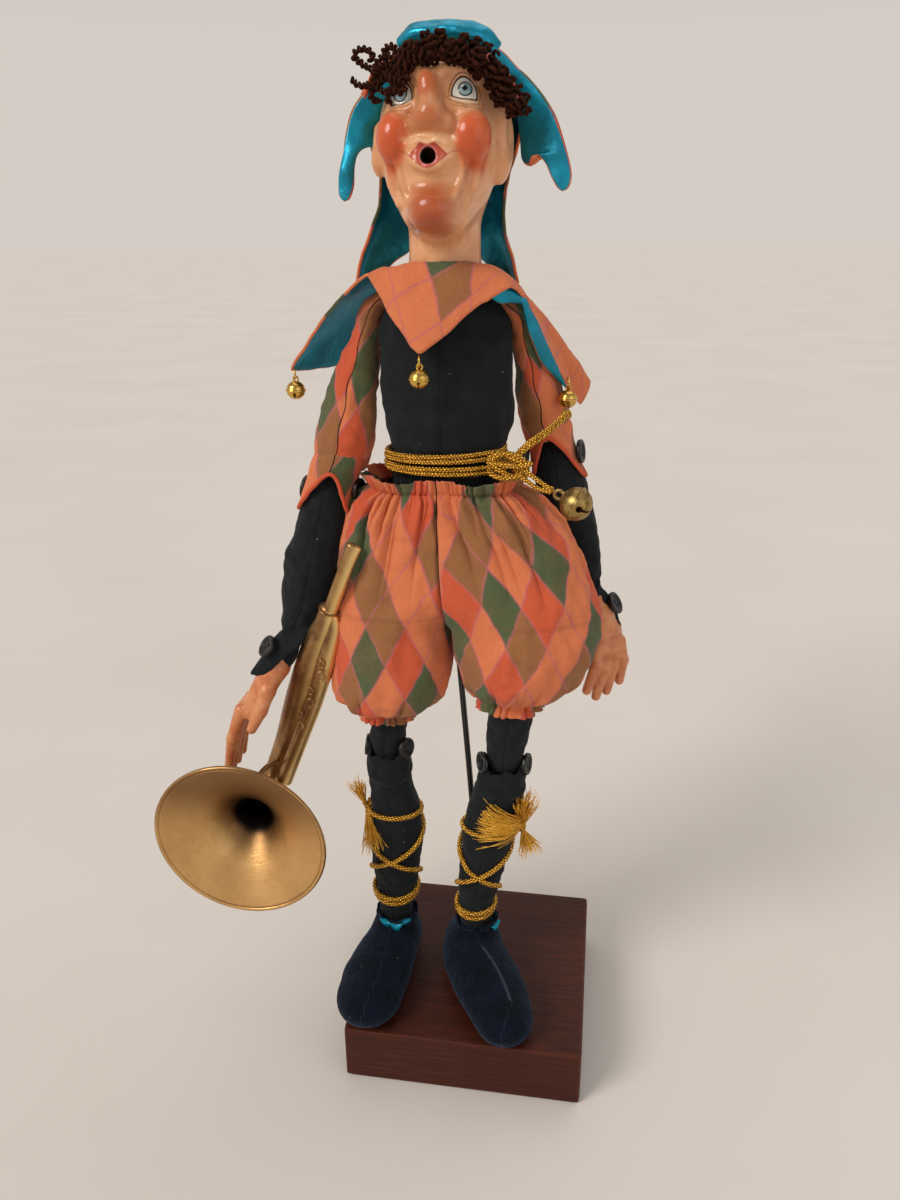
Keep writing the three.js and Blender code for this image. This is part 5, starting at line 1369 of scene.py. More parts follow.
COLLAR = A([
    [[-11, -13.8, 329.4], [-13.5, -19.5, 318], [-16, -25.4, 301.6]],
    [[-3, -13.2, 329.2], [0, -16.6, 325.4], [2.4, -18.6, 316.5]],
    [[3.8, -8, 328], [8, -12.5, 326.5], [12.6, -15.0, 322.0]],
    [[5.8, -2, 327], [12.4, -5.4, 323.4], [17.4, -7.0, 317.6]],
    [[6, 0.5, 326.8], [14.2, -0.5, 320.2], [21.2, -1.6, 307.6]],
    [[6, 3, 326.6], [16.4, 5.5, 315.8], [31.4, 9.4, 286.4]],
    [[5.4, 6, 326.8], [19.0, 11, 312.2], [36.6, 15.6, 279.5]],
    [[4.4, 9, 327], [23.0, 16.5, 308.4], [39.4, 19, 286.4]],
    [[0, 13.4, 327.4], [11, 23, 316], [19, 32, 304]],
    [[-11.5, 15.4, 328], [-11.5, 26, 316], [-11.5, 36.5, 283]],
    [[-22, 13.4, 327.4], [-31, 22, 319], [-38, 31, 305]],
    [[-26.9, 8, 326.8], [-38, 15, 317], [-50, 19, 293]],
    [[-28.4, 2, 326.4], [-42, 6, 318], [-67.8, -3.8, 292.2]],
    [[-28.6, -1, 326.5], [-39.5, -1.5, 321.6], [-55.4, -7.6, 308.6]],
    [[-28.4, -3, 326.8], [-36.4, -6, 323.8], [-45.6, -10, 318.0]],
    [[-26, -9, 327.6], [-30.6, -12.0, 327.2], [-35.4, -13.6, 325.6]],
    [[-19.8, -12.8, 329], [-23.4, -17, 324.2], [-26.6, -19.4, 313.6]],
])


def collar_at(u, v):
    n = len(COLLAR)
    x = u * n
    i = np.floor(x).astype(int) % n
    f = (x - np.floor(x))[..., None]
    rows = []
    for j in range(3):
        a, b, c, d = (COLLAR[(i + k) % n, j] for k in (-1, 0, 1, 2))
        tight = 0.35 if j == 2 else 1.0
        m1, m2 = 0.5 * (c - a) * tight, 0.5 * (d - b) * tight
        rows.append((2 * f**3 - 3 * f**2 + 1) * b + (f**3 - 2 * f**2 + f) * m1 + (-2 * f**3 + 3 * f**2) * c + (f**3 - f**2) * m2)
    v = v[..., None]
    return (1 - v) * (1 - 2 * v) * rows[0] + 4 * v * (1 - v) * rows[1] + v * (2 * v - 1) * rows[2]


def lined_sheet(part, P, wrap, thick, offset=(0, 0), lining=1, printed=0, rim=0, anchor=None, cell=(0, 0), bias=False):
    """A lined sheet: P is a grid of points on its lining; the print lies thick behind it."""
    nu, nv = P.shape[:2]
    F = grid_faces(nu, nv, wrap, False)
    V = P.reshape(-1, 3)
    Q = np.vstack([P[:1] * 0 + P[-1:], P]) if wrap else P
    du = np.linalg.norm(np.diff(P, axis=0, append=P[:1] if wrap else P[-1:]), axis=-1)
    X = np.cumsum(du, 0) - du
    half = X[-1:] / 2
    dv = np.linalg.norm(np.diff(P, axis=1), axis=-1)
    Y = np.concatenate([np.zeros((nu, 1)), np.cumsum(dv, 1)], 1)
    X = np.where(X > half, X - X[-1:] - du[-1:], X) if wrap else X - half
    if bias:  # the print lies across the collar at a slant
        a, b = (7.9 * X + 12.7 * Y) / 247.7, (8.2 * Y - 14.4 * X) / 247.7
        X, Y = print_cell(a - 0.5, b - 0.5)
    cl = np.stack([X + offset[0], Y + offset[1], np.full(X.shape, 6.0)], -1).reshape(-1, 3)
    if anchor is not None:
        cl[:, :2] += print_cell(*cell) - cl[np.argmin(((V - A(anchor)) ** 2).sum(1)), :2]
    W2, FF, M2, src = solidify(V, F, thick, inner=printed, rim=rim)
    M2 = np.where(np.arange(len(M2)) < len(F), lining, M2)
    part.add(W2, FF, M2, cl[src])


part = Part()
nu, nv = 360, 34
U, Vv = np.meshgrid(np.arange(nu) / nu, np.linspace(0, 1, nv), indexing="ij")
P = collar_at(U, Vv)
P = P + (0.35 * Waves(120, 12)(P) * Vv + 0.1 * Waves(121, 4)(P))[..., None] * np.array([0.2, -0.5, 1.0])
lined_sheet(part, P, True, 1.1, anchor=(-5.6, -16.8, 320.8), cell=(1, 0), bias=True)
# the turned hem at the front of the left shoulder's point shows the lining
HEM_UP = [[5.9, -13.4, 320.7], [8.4, -12.2, 321.9], [11.6, -10.8, 322.5], [14.6, -9.6, 320.5], [17.9, -8.2, 317.8], [19.3, -6.8, 314.4], [21.6, -4.2, 310.3], [23.9, -0.8, 304.6], [27.1, 3.4, 297.2], [30.0, 7.0, 290.8], [31.9, 9.2, 286.4]]
HEM_LOW = [[5.8, -12.6, 318.4], [9.1, -11.2, 316.7], [13.0, -9.8, 316.7], [16.3, -8.8, 316.0], [17.2, -7.6, 312.5], [18.4, -6.4, 308.1], [20.4, -3.8, 302.8], [22.8, 0.0, 296.5], [26.0, 4.2, 291.8], [29.0, 7.8, 288.0], [31.3, 9.4, 285.8]]
v = np.linspace(0, 1, 90)
b = np.linspace(0, 1, 12)[:, None, None]
up, low = (ease(A(q), v) for q in (HEM_UP, HEM_LOW))
P = up[None] * (1 - b) + low[None] * b
P[..., 1] -= 3.2 * (b * (1 - b))[..., 0]
lined_sheet(part, facing(P), False, 1.0)
collar = part.make("collar_cloth", [MAT["collar"], MAT["teal"]], "lined_cloth", "collar")

# ---------- hood ----------
HOOD = [[327.6, -17.3, 11, 27.7, 15.5, 82], [333, -17.4, 10.5, 26.6, 16, 84], [341, -16.4, 9.8, 23.4, 18.4, 84], [351, -14.8, 9.2, 21.8, 20.6, 80], [362, -13.2, 6.4, 23.2, 23, 79], [373, -12.4, 4, 26.4, 25.4, 90], [382, -12, 3, 26, 24.6, 112], [388.6, -11.6, 2, 21, 20.4, 128], [393.2, -11.2, 1, 13, 13.4, 140], [395.2, -11, 0.6, 3, 3.2, 146]]


def hood_sheet(nu=124, nv=90):
    v = np.linspace(0, 1, nv)
    s = ease(HOOD, v)
    u = np.linspace(0, 1, nu)[:, None]
    a = (u * 2 - 1) * np.radians(s[:, 5])[None]
    fold = 1 + 0.035 * np.sin(5 * a + 0.8) * (1 - v)[None] + 0.012 * np.sin(11 * a + 2) * (1 - v)[None]
    side = step01(math.radians(20), math.radians(62), np.abs(a))
    low = (1 - v)[None] ** 5
    P = np.stack([s[:, 1] + (s[:, 3] * fold + 1.6 * side * low) * np.sin(a), s[:, 2] + s[:, 4] * fold * np.cos(a), s[:, 0] + 7 * bell(a, 0.8) * (1 - v)[None] ** 6 - 5.8 * side * low], -1)
    return P + (0.4 * Waves(131, 14)(P) + 0.12 * Waves(132, 5)(P))[..., None] * unit(P - A([-12, 4, 366]))


def flap(outer, inner, nu=26, nv=90, seed=1, cup=1.6):
    """A hanging point of the hood between its outer and inner edge."""
    v = np.linspace(0, 1, nv)
    O, I = even(outer, 0.2), even(inner, 0.2)
    O = ease(O[:: max(1, len(O) // 60)], v)
    I = ease(I[:: max(1, len(I) // 60)], v)
    b = np.linspace(0, 1, nu)[:, None, None]
    P = O[None] * (1 - b) + I[None] * b
    P[..., 1] -= cup * 4 * (b * (1 - b))[..., 0] * np.sin(np.linspace(0.2, math.pi * 0.96, nv))[None]
    return P + (0.3 * Waves(seed, 9)(P))[..., None] * np.array([0, 1.0, 0])


part = Part()
lined_sheet(part, hood_sheet(), False, 1.1, (3, 5))
P = flap([[7.2, -8.0, 392.6], [9.8, -6.6, 390.8], [13.4, -5.6, 387.2], [18.9, -5, 382.0], [23.2, -5.5, 376.4], [25.8, -6, 372.0], [29.1, -6.5, 364.1], [31, -7, 357.6], [31.0, -7.5, 354.0], [30.0, -7.6, 352.0], [29.2, -7.6, 351.6]], [[3.8, -9.6, 389.0], [7.6, -6.5, 385.4], [10.8, -2.6, 380.5], [12.8, 0.4, 374], [13.8, 2.0, 367.5], [14.6, 2.0, 361.6], [17.4, -1.0, 360.2], [20.0, -4.6, 362.6], [23.1, -6, 359.9], [25.2, -7, 356], [27.3, -7.5, 352.7], [28.6, -7.6, 351.5]], seed=141)
lined_sheet(part, facing(P), False, 1.4, (9, 2))
P = flap([[-30.3, -4.6, 385.6], [-35.2, -5, 382.9], [-39.5, -5, 378.4], [-41.8, -6, 373.4], [-43.2, -7, 368], [-45, -8, 360.4], [-45.9, -8.5, 355.8], [-45.9, -9, 351.6], [-44.8, -9, 349.5]], [[-26.6, -7.6, 385.4], [-28.2, -3, 380.4], [-29.6, 0.4, 375], [-30.8, 1.6, 369.6], [-33, -0.6, 366.2], [-36.8, -4, 365.8], [-39.2, -6, 364.0], [-40.4, -7, 360.2], [-41.1, -8.5, 354.2], [-42.6, -9, 350.2], [-44.2, -9, 349.2]], seed=142)
lined_sheet(part, facing(P), False, 1.5, (4, 12))


def brim(part, pts, r, seed, mat=1):
    """The turned-back front of the hood: a soft flattened roll with blunt ends and a lengthwise crease."""
    C = even(pts, 0.45)
    n = len(C)
    t = np.linspace(0, 1, n)
    R = r * (0.92 + 0.08 * np.sin(t * math.pi)) * np.clip(1 - ((np.abs(t - 0.5) - 0.475).clip(0) / 0.026) ** 2, 0.2, 1) ** 0.5
    w1, w2 = Waves(seed, 5), Waves(seed + 1, 10)

    def f(a, s):
        Q = np.stack([s, 3 * np.cos(a), 3 * np.sin(a)], -1)
        return 0.14 * w1(Q) + 0.3 * w2(Q) + 0.25 * np.cos(a * 4) - 0.6 * bell(a - 3.4 - 0.2 * np.sin(s * 0.2), 0.16) - 0.35 * bell(a - 2.3 - 0.15 * np.sin(s * 0.3 + 1), 0.12)
    sweep(part, C, R, 56, mat, shape=f)


brim(part, [[-23.2, -4, 395.4], [-18.4, -7.4, 396.8], [-10.8, -8.6, 397.2], [-3.2, -8.4, 396.5], [2.2, -7, 394.6], [5.6, -5.6, 391.2]], 3.9, 151)
hood = part.make("hood_cloth", [MAT["print"], MAT["teal"]], "lined_cloth", "hood")

# ---------- head ----------
TILT = math.radians(-14)
HROT = A([[1, 0, 0], [0, math.cos(TILT), -math.sin(TILT)], [0, math.sin(TILT), math.cos(TILT)]])
HC = A([-12.2, -3, 366])


def head_out(p):
    return A(p) @ HROT.T + HC


def head_in(p):
    return (A(p) - HC) @ HROT


def face(P):
    d = ell(P, (0, 1, 3), (20.4, 22.5, 24.5))
    d = smin(d, ell(P, (0.9, -3, -11), (16.6, 18, 17)), 6)
    d = smin(d, ell(P, (1.0, -8, -22.5), (11.0, 11, 9.5)), 5.0)
    d = smin(d, ell(P, (1.0, -15.8, -25.0), (8.0, 7.4, 6.8)), 3.0)
    # nose: a long ridge that widens to a broad, flat end
    d = smin(d, cap(P, (-0.6, -20.4, 13.0), (0.6, -23.2, 2.4), 2.8, 4.2), 3.0)
    d = smin(d, ell(P, (0.9, -22.8, -0.2), (5.6, 4.4, 3.6)), 2.6)
    d = smin(d, ell(P, (-0.6, -22.2, 11.0), (3.0, 2.8, 3.4)), 1.4)
    for s in (-1, 1):
        d = smin(d, ell(P, (0.9 + s * 5.2, -21.4, -0.8), (2.6, 3.6, 2.9)), 1.6)
    # muzzle
    d = smin(d, ell(P, (0.8, -18.4, -8.2), (10.2, 5.4, 6.0)), 2.0)
    # cheeks
    d = smin(d, ell(P, (12.6, -17.0, -3.2), (6.6, 6.6, 8.2)), 1.2)
    d = smin(d, ell(P, (-11.2, -17.2, -3.2), (6.2, 6.5, 8.2)), 1.2)
    # brows, eye hollows, eyeballs and the bags under them
    for s in (-1, 1):
        d = smin(d, cap(P, (s * 4.2, -20.2, 15.4), (s * 14.6, -13.6, 16.8), 1.9, 1.7), 3.5)
        d = smax(d, -ell(P, (s * 9.9, -21.4, 9.9 + s * 0.5), (4.4, 3.2, 4.1)), 3.0)
        d = smin(d, ell(P, (s * 9.9, -13.4, 9.7 + s * 0.5), (3.65, 5.0, 4.15)), 0.8)
        for p0, p1, p2, q in (((4.9, -20.6, 6.0), (9.8, -19.4, 4.4), (14.4, -15.6, 5.6), 0.8), ((5.6, -21.0, 4.4), (10.0, -20.0, 2.8), (15.0, -16.0, 3.8), 0.75)):
            for m, n in ((p0, p1), (p1, p2)):
                d = smin(d, cap(P, (s * m[0], m[1], m[2]), (s * n[0], n[1], n[2]), q, q), 1.0)
    # lips and mouth
    d = smin(d, ell(P, (0.3, -18.0, -10.4), (7.6, 4.6, 5.4)), 2.4)
    for pts, w in ((((-9.4, -20.2, -7.4), (-5.2, -22.2, -7.0), (-2.4, -23.8, -6.4), (0.3, -23.6, -7.2), (3.0, -23.8, -6.4), (5.8, -22.6, -7.0), (10.0, -20.6, -7.6)), 1.0), (((-6.0, -21.2, -10.2), (-3.6, -22.2, -12.6), (0.3, -22.6, -14.0), (4.0, -22.4, -12.8), (6.8, -21.2, -10.4)), 1.1)):
        for m, n in zip(pts, pts[1:]):
            d = smin(d, cap(P, m, n, w, w), 1.1)
    q = P - A([0.4, -22.0, -10.6])
    ring = np.sqrt((np.sqrt((q[:, 0] / 1.05) ** 2 + q[:, 2] ** 2) - 3.3) ** 2 + (q[:, 1] * 1.1) ** 2) - 1.2
    d = smin(d, ring, 1.4)
    d = smax(d, -cap(P, (0.4, -30, -10.8), (0.4, -10, -10.2), 2.25, 2.0), 0.7)
    # the long folds from the nose round the mouth to the chin, and softer ones outside them
    for pts, w, k in ((((8.8, -20.6, -5.0), (10.8, -18.4, -11.5), (10.0, -17.2, -17.0), (7.6, -17.4, -22.0)), 1.3, 1.3), (((-7.8, -20.4, -5.0), (-9.6, -18.4, -11.5), (-9.2, -17.0, -17.0), (-7.0, -17.2, -21.5)), 1.3, 1.3), (((14.8, -15.6, -10.5), (14.0, -13.4, -16.5), (11.0, -13.4, -23.0)), 1.1, 2.2), (((-13.4, -15.6, -10.5), (-13.0, -13.2, -16.0), (-10.6, -13.2, -22.0)), 1.1, 2.2)):
        for m, n in zip(pts, pts[1:]):
            d = smin(d, cap(P, m, n, w, w), k)
    d = smax(d, -cap(P, (-3.6, -23.2, -18.6), (5.4, -23.2, -18.6), 1.3, 1.3), 3.4)
    return d


def head_field(P):
    L = head_in(P)
    d = face(L)
    w = P - A([-11.4, 0.3, 0])
    neck = np.sqrt(w[:, 0] ** 2 + w[:, 1] ** 2) - (12.4 + 0.5 * step01(334, 326, P[:, 2]))
    neck = smax(neck, P[:, 2] - 352, 4)
    d = smin(d, neck, 5)
    for c, r, hollow in (((-20.4, 0.4, -1.0), (3.2, 5.4, 8.6), (-23.4, -2.0, 0.4)), ((20.2, -1.2, -0.6), (4.4, 6.6, 12.4), (24.4, -4.2, 1.8))):
        d = smin(d, ell(L, c, r), 2.2)
        d = smax(d, -ell(L, hollow, (1.8, 2.6, 4.6)), 1.4)
    return smax(d, 325.8 - P[:, 2], 0.6)


V, F = net(head_field, (-40, -42, 324), (18, 26, 397), 0.7)
part = Part()
part.add(V, F, 0, head_in(V))
part.make("head_painted", [MAT["face"]], "painted_skin", "head")


# ---------- hands ----------
def hand_field(a, b, c, tips, thumb, spread, dirv, sgn):
    a, b, c = A(a), A(b), A(c)
    dirv = A(list(dirv) + [0])

    def f(P):
        d = cap(P, a + (a - b) * 0.15, a, 3.2, 3.8)
        d = smin(d, cap(P, a, a * 0.6 + b * 0.4, 4.0, 5.3), 3)
        for s in (-1, 0, 1):
            d = smin(d, cap(P, (a * 0.5 + b * 0.5) + dirv * s * 1.4, b * 0.35 + c * 0.65 + dirv * s * spread * 1.15, 4.9, 4.0), 2.5)
        for i, tip in enumerate(tips):
            s = (i - 1.5) * spread
            k = c + dirv * s + A([0, 0, 6])
            m = (k + A(tip)) / 2 + A([1.2 * sgn, 0, 0])
            d = smin(d, cap(P, k, m, 2.9, 2.5), 1.0)
            d = smin(d, cap(P, m, tip, 2.5, 1.9), 0.8)
        t0, t1 = A(thumb[0]), A(thumb[1])
        tm = (t0 + t1) / 2 + A([-0.6 * sgn, -0.6, 0])
        d = smin(d, cap(P, a * 0.4 + b * 0.6, t0, 3.0, 3.0), 2.4)
        d = smin(d, cap(P, t0, tm, 3.0, 2.7), 1.2)
        d = smin(d, cap(P, tm, t1, 2.7, 2.1), 1.0)
        return d
    return f


for side, (pa, tips, thumb, spread, dirv) in {
    "right": ([[-77.6, -8, 181.5], [-87, -10, 165.5], [-96, -9.5, 150]], [[-104.2, -15.5, 127.5], [-104.6, -11, 125.6], [-104, -6.5, 126.4], [-103, -2.5, 129]], [[-84, -15, 165], [-91.5, -17.5, 148.5]], 4.0, (0, 1)),
    "left": ([[45.6, 15.5, 200], [50.6, 12, 187], [52.4, 10.6, 178]], [[57.6, 12.5, 166.6], [52.6, 8.4, 163.6], [48.4, 5, 162.4], [44.6, 3.2, 165.6]], [[53.9, 17, 189], [59, 14.5, 175.5]], 3.4, (-0.8, -0.5)),
}.items():
    f = hand_field(*pa, tips, thumb, spread, dirv, -1 if side == "right" else 1)
    lo, hi = ((-112, -24, 120), (-70, 8, 190)) if side == "right" else ((36, -4, 156), (66, 26, 209))
    V, F = net(f, lo, hi, 0.66)
    part = Part()
    part.add(V, F)
    part.make(f"hand_{side}_painted", [MAT["hand"]], "painted_skin", f"hand_{side}")


# ---------- hair ----------
def curl(part, line, radius, yarn, pitch, seed, squash=1.0, phase=0.0, gap=0.5):
    """Chenille wound in a springy coil along a line, uneven from turn to turn."""
    C = even(line, 0.25)
    T, X, Y = carried(C)
    s = arc(C)
    R = np.random.RandomState(seed)
    w = TAU * s / pitch + 0.9 * np.sin(s * 0.5 + seed) + phase
    rad = radius * (1 + 0.18 * np.sin(s * 0.9 + seed * 1.7) + 0.1 * np.sin(s * 2.3 + seed))
    end = np.clip(np.minimum(s, s[-1] - s) / 2.5, 0.25, 1)
    Q = C + (X * np.cos(w)[:, None] + Y * np.sin(w)[:, None] * squash) * (rad * end)[:, None]
    Q = even(Q[:: max(1, len(Q) // 900)], gap)
    n1, n2 = Waves(seed, 1.3), Waves(seed + 1, 2.6)

    def f(a, s2):
        q = np.stack([s2, 1.2 * np.cos(a), 1.2 * np.sin(a)], -1)
        return yarn * (0.2 * n1(q) + 0.14 * n2(q))
    sweep(part, Q, yarn, 9, 0, shape=f)


HAIR = A([[-20.6, -18.2, 387.2], [-17.2, -20.4, 390.2], [-13.4, -21.8, 391.9], [-9.4, -22.8, 392.2], [-4.6, -22.6, 391.4], [0.2, -21.4, 390.6], [3.4, -19.8, 388.8], [6.2, -17.8, 386.4], [8.8, -16.2, 383.6], [11.4, -14.6, 380.2], [13.8, -13.8, 377.4], [15.8, -13.2, 375.2]])


def worm(part, line, yarn, seed, coil=0.95, pitch=1.5):
    """A short lock: fuzzy yarn in a tight corkscrew round a bent line."""
    C = even(line, 0.16)
    T, X, Y = carried(C)
    s = arc(C)
    w = TAU * s / pitch + seed
    end = np.clip(np.minimum(s, s[-1] - s) / 1.2, 0.0, 1)
    Q = C + (X * np.cos(w)[:, None] + Y * np.sin(w)[:, None]) * (coil * end)[:, None]
    Q = even(Q, 0.46)
    n1, n2 = Waves(seed, 1.2), Waves(seed + 1, 2.4)

    def f(a, s2):
        q = np.stack([s2, 1.1 * np.cos(a), 1.1 * np.sin(a)], -1)
        return yarn * (0.16 * n1(q) + 0.12 * n2(q))
    sweep(part, Q, yarn, 7, 0, shape=f)


part = Part()
rng = np.random.RandomState(77)
centre = A([-10.5, -8.0, 368.0])
path = even(HAIR, 0.2)
tan = unit(np.gradient(path, axis=0))
for layer, (count, lift, push, length) in enumerate(((14, -1.6, 0.0, 6.8), (13, 0.2, 1.8, 5.8), (13, -3.2, 1.2, 5.8), (13, 0.0, -2.2, 5.6))):
    for k in range(count):
        i = int((k + 0.5 + rng.uniform(-0.3, 0.3)) / count * (len(path) - 1))
        c, tg = path[i], tan[i]
        rad = unit(c - centre)
        upw = unit(rad - tg * (rad @ tg))
        outw = unit(np.cross(tg, upw))
        outw = outw if outw[1] < 0 else -outw
        lean = rng.uniform(-0.75, 0.75)
        d = unit(upw + tg * lean)
        L = length * rng.uniform(0.8, 1.15)
        m = c + upw * lift - outw * push
        hook = tg * rng.uniform(-2.0, 2.0)
        line = [m - d * L * 0.5 + hook * 0.6, m - d * L * 0.2 + outw * 0.9, m + d * L * 0.15 + outw * 1.3, m + d * L * 0.42 + outw * 0.5 - hook * 0.3, m + d * L * 0.55 - outw * 0.6 - hook]
        worm(part, line, rng.uniform(0.56, 0.68), 300 + 40 * layer + k, coil=rng.uniform(0.95, 1.35), pitch=rng.uniform(1.6, 2.2))
LOOSE = [
    [[-24.0, -17.5, 387.0], [-28.0, -17.0, 386.0], [-32.1, -16.0, 387.2], [-34.2, -15.6, 388.4], [-36.8, -16.0, 390.3], [-35.9, -16.4, 392.2], [-32.6, -16.4, 392.4], [-31.0, -16.0, 390.6], [-32.6, -15.0, 389.4]],
    [[-23.0, -18.0, 384.4], [-27.0, -17.6, 384.0], [-30.9, -16.8, 383.2], [-34.2, -16.0, 382.4], [-37.2, -15.6, 383.4], [-38.0, -15.4, 385.0]],
    [[-25.0, -18.2, 388.0], [-28.6, -18.0, 387.4], [-31.0, -17.4, 384.6], [-28.6, -17.6, 381.2], [-25.4, -18.4, 380.0], [-22.4, -19.0, 381.4], [-22.6, -19.4, 384.4]],
    [[-21.0, -19.0, 389.2], [-25.4, -18.0, 390.4], [-29.2, -16.6, 389.4], [-30.2, -16.2, 386.8], [-27.4, -17.4, 384.8]],
    [[-19.0, -20.0, 387.4], [-21.8, -19.8, 384.6], [-24.4, -19.2, 382.0], [-26.2, -18.6, 378.6], [-24.8, -18.6, 376.8]],
    [[-17.6, -20.6, 388.6], [-19.8, -20.6, 385.4], [-20.8, -20.4, 382.4], [-23.4, -19.8, 383.2], [-24.4, -19.2, 386.0]],
    [[-27.0, -16.4, 385.4], [-30.0, -15.2, 382.4], [-32.4, -14.4, 380.6], [-31.6, -14.0, 378.6], [-29.0, -14.8, 378.4]],
    [[-22.0, -18.6, 391.0], [-25.0, -17.2, 393.0], [-27.4, -16.0, 391.6], [-26.6, -16.2, 388.6]],
    [[-26.2, -20.3, 385.2], [-24.0, -20.8, 383.6], [-21.9, -21.0, 382.7], [-20.1, -21.2, 381.2], [-20.9, -21.5, 379.6], [-22.8, -21.8, 380.1], [-23.3, -22.0, 381.4]],
    [[-24.6, -19.8, 387.4], [-22.0, -20.6, 386.0], [-19.4, -21.0, 384.8], [-18.6, -21.2, 382.8]],
]
for k, line in enumerate(LOOSE):
    worm(part, line, 0.62, 500 + k, coil=0.6, pitch=1.6)
hair = part.make("hair_curls", [MAT["yarn"]], "yarn", "hair")

# ---------- belt ----------
KNOT = A([13.4, -15.4, 262.4])


def belly(z, g, n=28, tilt=0.0):
    a = TAU * np.arange(n) / n
    return np.stack([-11.8 + (20.6 + g) * np.cos(a), (13.6 + g) * np.sin(a), z + tilt * np.cos(a - 0.4)], 1)


part = Part()
rope(part, belly(264.4, 1.5, tilt=0.9), 1.0, 2.6, 2, closed=True)
rope(part, belly(262.5, 1.9, tilt=0.6), 1.0, 2.6, 2, closed=True, turn=1)
rope(part, belly(259.6, 1.9, tilt=0.1), 1.0, 2.6, 2, closed=True, turn=2)
rope(part, belly(257.7, 1.7, tilt=-0.2), 1.0, 2.6, 2, closed=True, turn=0.4)
K = KNOT
def loop(pts):
    return [K + A(p) * A([1.5, 1.1, 1.25]) for p in pts]


rope(part, loop([[-4.5, 0.6, -1.5], [-3.4, -2.6, 2.2], [0, -3.4, 3.6], [3.6, -2.6, 1.6], [3.0, -2.8, -2.2], [-0.6, -3.6, -3.4], [-3.8, -2.6, -2.6]]), 1.1, 2.6, 2, closed=True)
rope(part, loop([[-2.6, -1.6, 3.4], [1.8, -3.6, 1.8], [4.6, -2.2, -1.2], [2.2, -1.8, -3.6], [-1.6, -3.6, -1.4], [-4.4, -2.6, 1.2]]), 1.05, 2.6, 2, closed=True, turn=1)
rope(part, loop([[-4.6, -1.4, 0.6], [-1.2, -4.2, 0.6], [2.6, -4.4, 0.2], [5.2, -2.2, 0.6], [2.4, 0.6, 0.6], [-1.8, 0.8, 0.4]]), 1.05, 2.6, 2, closed=True, turn=2)
TAIL_A = A([[15, -17, 262], [19, -19.5, 259.5], [24, -21.6, 256.6], [28.6, -22.8, 255]])
TAIL_B = A([[15, -15.6, 264.6], [19.6, -14.5, 269.4], [26, -9, 273.4], [30.6, -2, 276.6], [32.4, 2.4, 277.8]])
rope(part, TAIL_A + A([0, 0, -1.0]) * np.array([[0], [1], [1], [0.4]]), 0.95, 2.4, 2)
rope(part, TAIL_A + A([0.8, 0.3, 1.2]) * np.array([[0.6], [1], [1], [0.3]]), 0.95, 2.4, 2, turn=1)
rope(part, TAIL_B, 1.0, 2.4, 2)
rope(part, TAIL_B + A([0.3, -0.2, -1.1]) * np.array([[0.4], [1], [1], [1], [0.8]]), 1.0, 2.4, 2, turn=1)
for c, r in (([32.4, 2.6, 277.2], 2.0), ([28.6, -22.6, 255.4], 1.3)):
    q = TAU * np.arange(12) / 12
    rope(part, np.stack([c[0] + r * 0.55 * (np.sin(q) + 1.4 * np.sin(2 * q)) * 0.6, c[1] + r * 0.55 * (np.cos(q) - 1.4 * np.cos(2 * q)) * 0.6, c[2] - r * 0.5 * np.sin(3 * q)], 1), 0.62, 1.8, closed=True, gap=0.3)
part.make("belt_cord_twisted", [MAT["gold"]], "gold_cord", "belt_cord")


# ---------- bells ----------
def aim(axis):
    z = unit(A(axis))
    x = unit(np.cross([0.2, 1, 0.1], z))
    return np.stack([x, np.cross(z, x), z], 1)


def jingle_field(r, slot_deg=0.0, cross=True, claws=False):
    def f(P):
        d = np.linalg.norm(P / A([1.0, 1.0, 0.96]), axis=-1) - r
        rad = np.hypot(P[:, 0], P[:, 1])
        band = np.hypot(rad - r * 1.0, P[:, 2] * 1.0) - r * 0.07
        d = smin(d, np.maximum(band, np.abs(P[:, 2]) - r * 0.05), 0.15 * r)
        # slots from the bottom, with round ends
        for k in range(2 if cross else 1):
            a = math.radians(slot_deg + 90 * k)
            t = P[:, 0] * math.cos(a) + P[:, 1] * math.sin(a)
            q = -P[:, 0] * math.sin(a) + P[:, 1] * math.cos(a)
            slot = np.maximum(np.abs(q) - r * 0.07, P[:, 2] + r * 0.22)
            d = np.maximum(d, -slot)
            for s in (-1, 1):
                c = A([s * math.cos(a), s * math.sin(a), 0]) * r * 0.9 + A([0, 0, -r * 0.36])
                d = np.maximum(d, -(np.linalg.norm(P - c, axis=-1) - r * 0.2))
        d = np.maximum(d, -(np.linalg.norm(P / A([1, 1, 0.96]), axis=-1) - r * 0.88))
        d = np.minimum(d, np.linalg.norm(P - A([r * 0.1, 0.0, -r * 0.42]), axis=-1) - r * 0.4)
        top = P - A([0, 0, r * 1.16])
        loop = np.sqrt((np.hypot(top[:, 0], top[:, 2]) - r * 0.27) ** 2 + top[:, 1] ** 2) - r * 0.1
        d = smin(d, loop, r * 0.06)
        return d
    return f


def put(V, M, at):
    return V @ M.T + A(at)


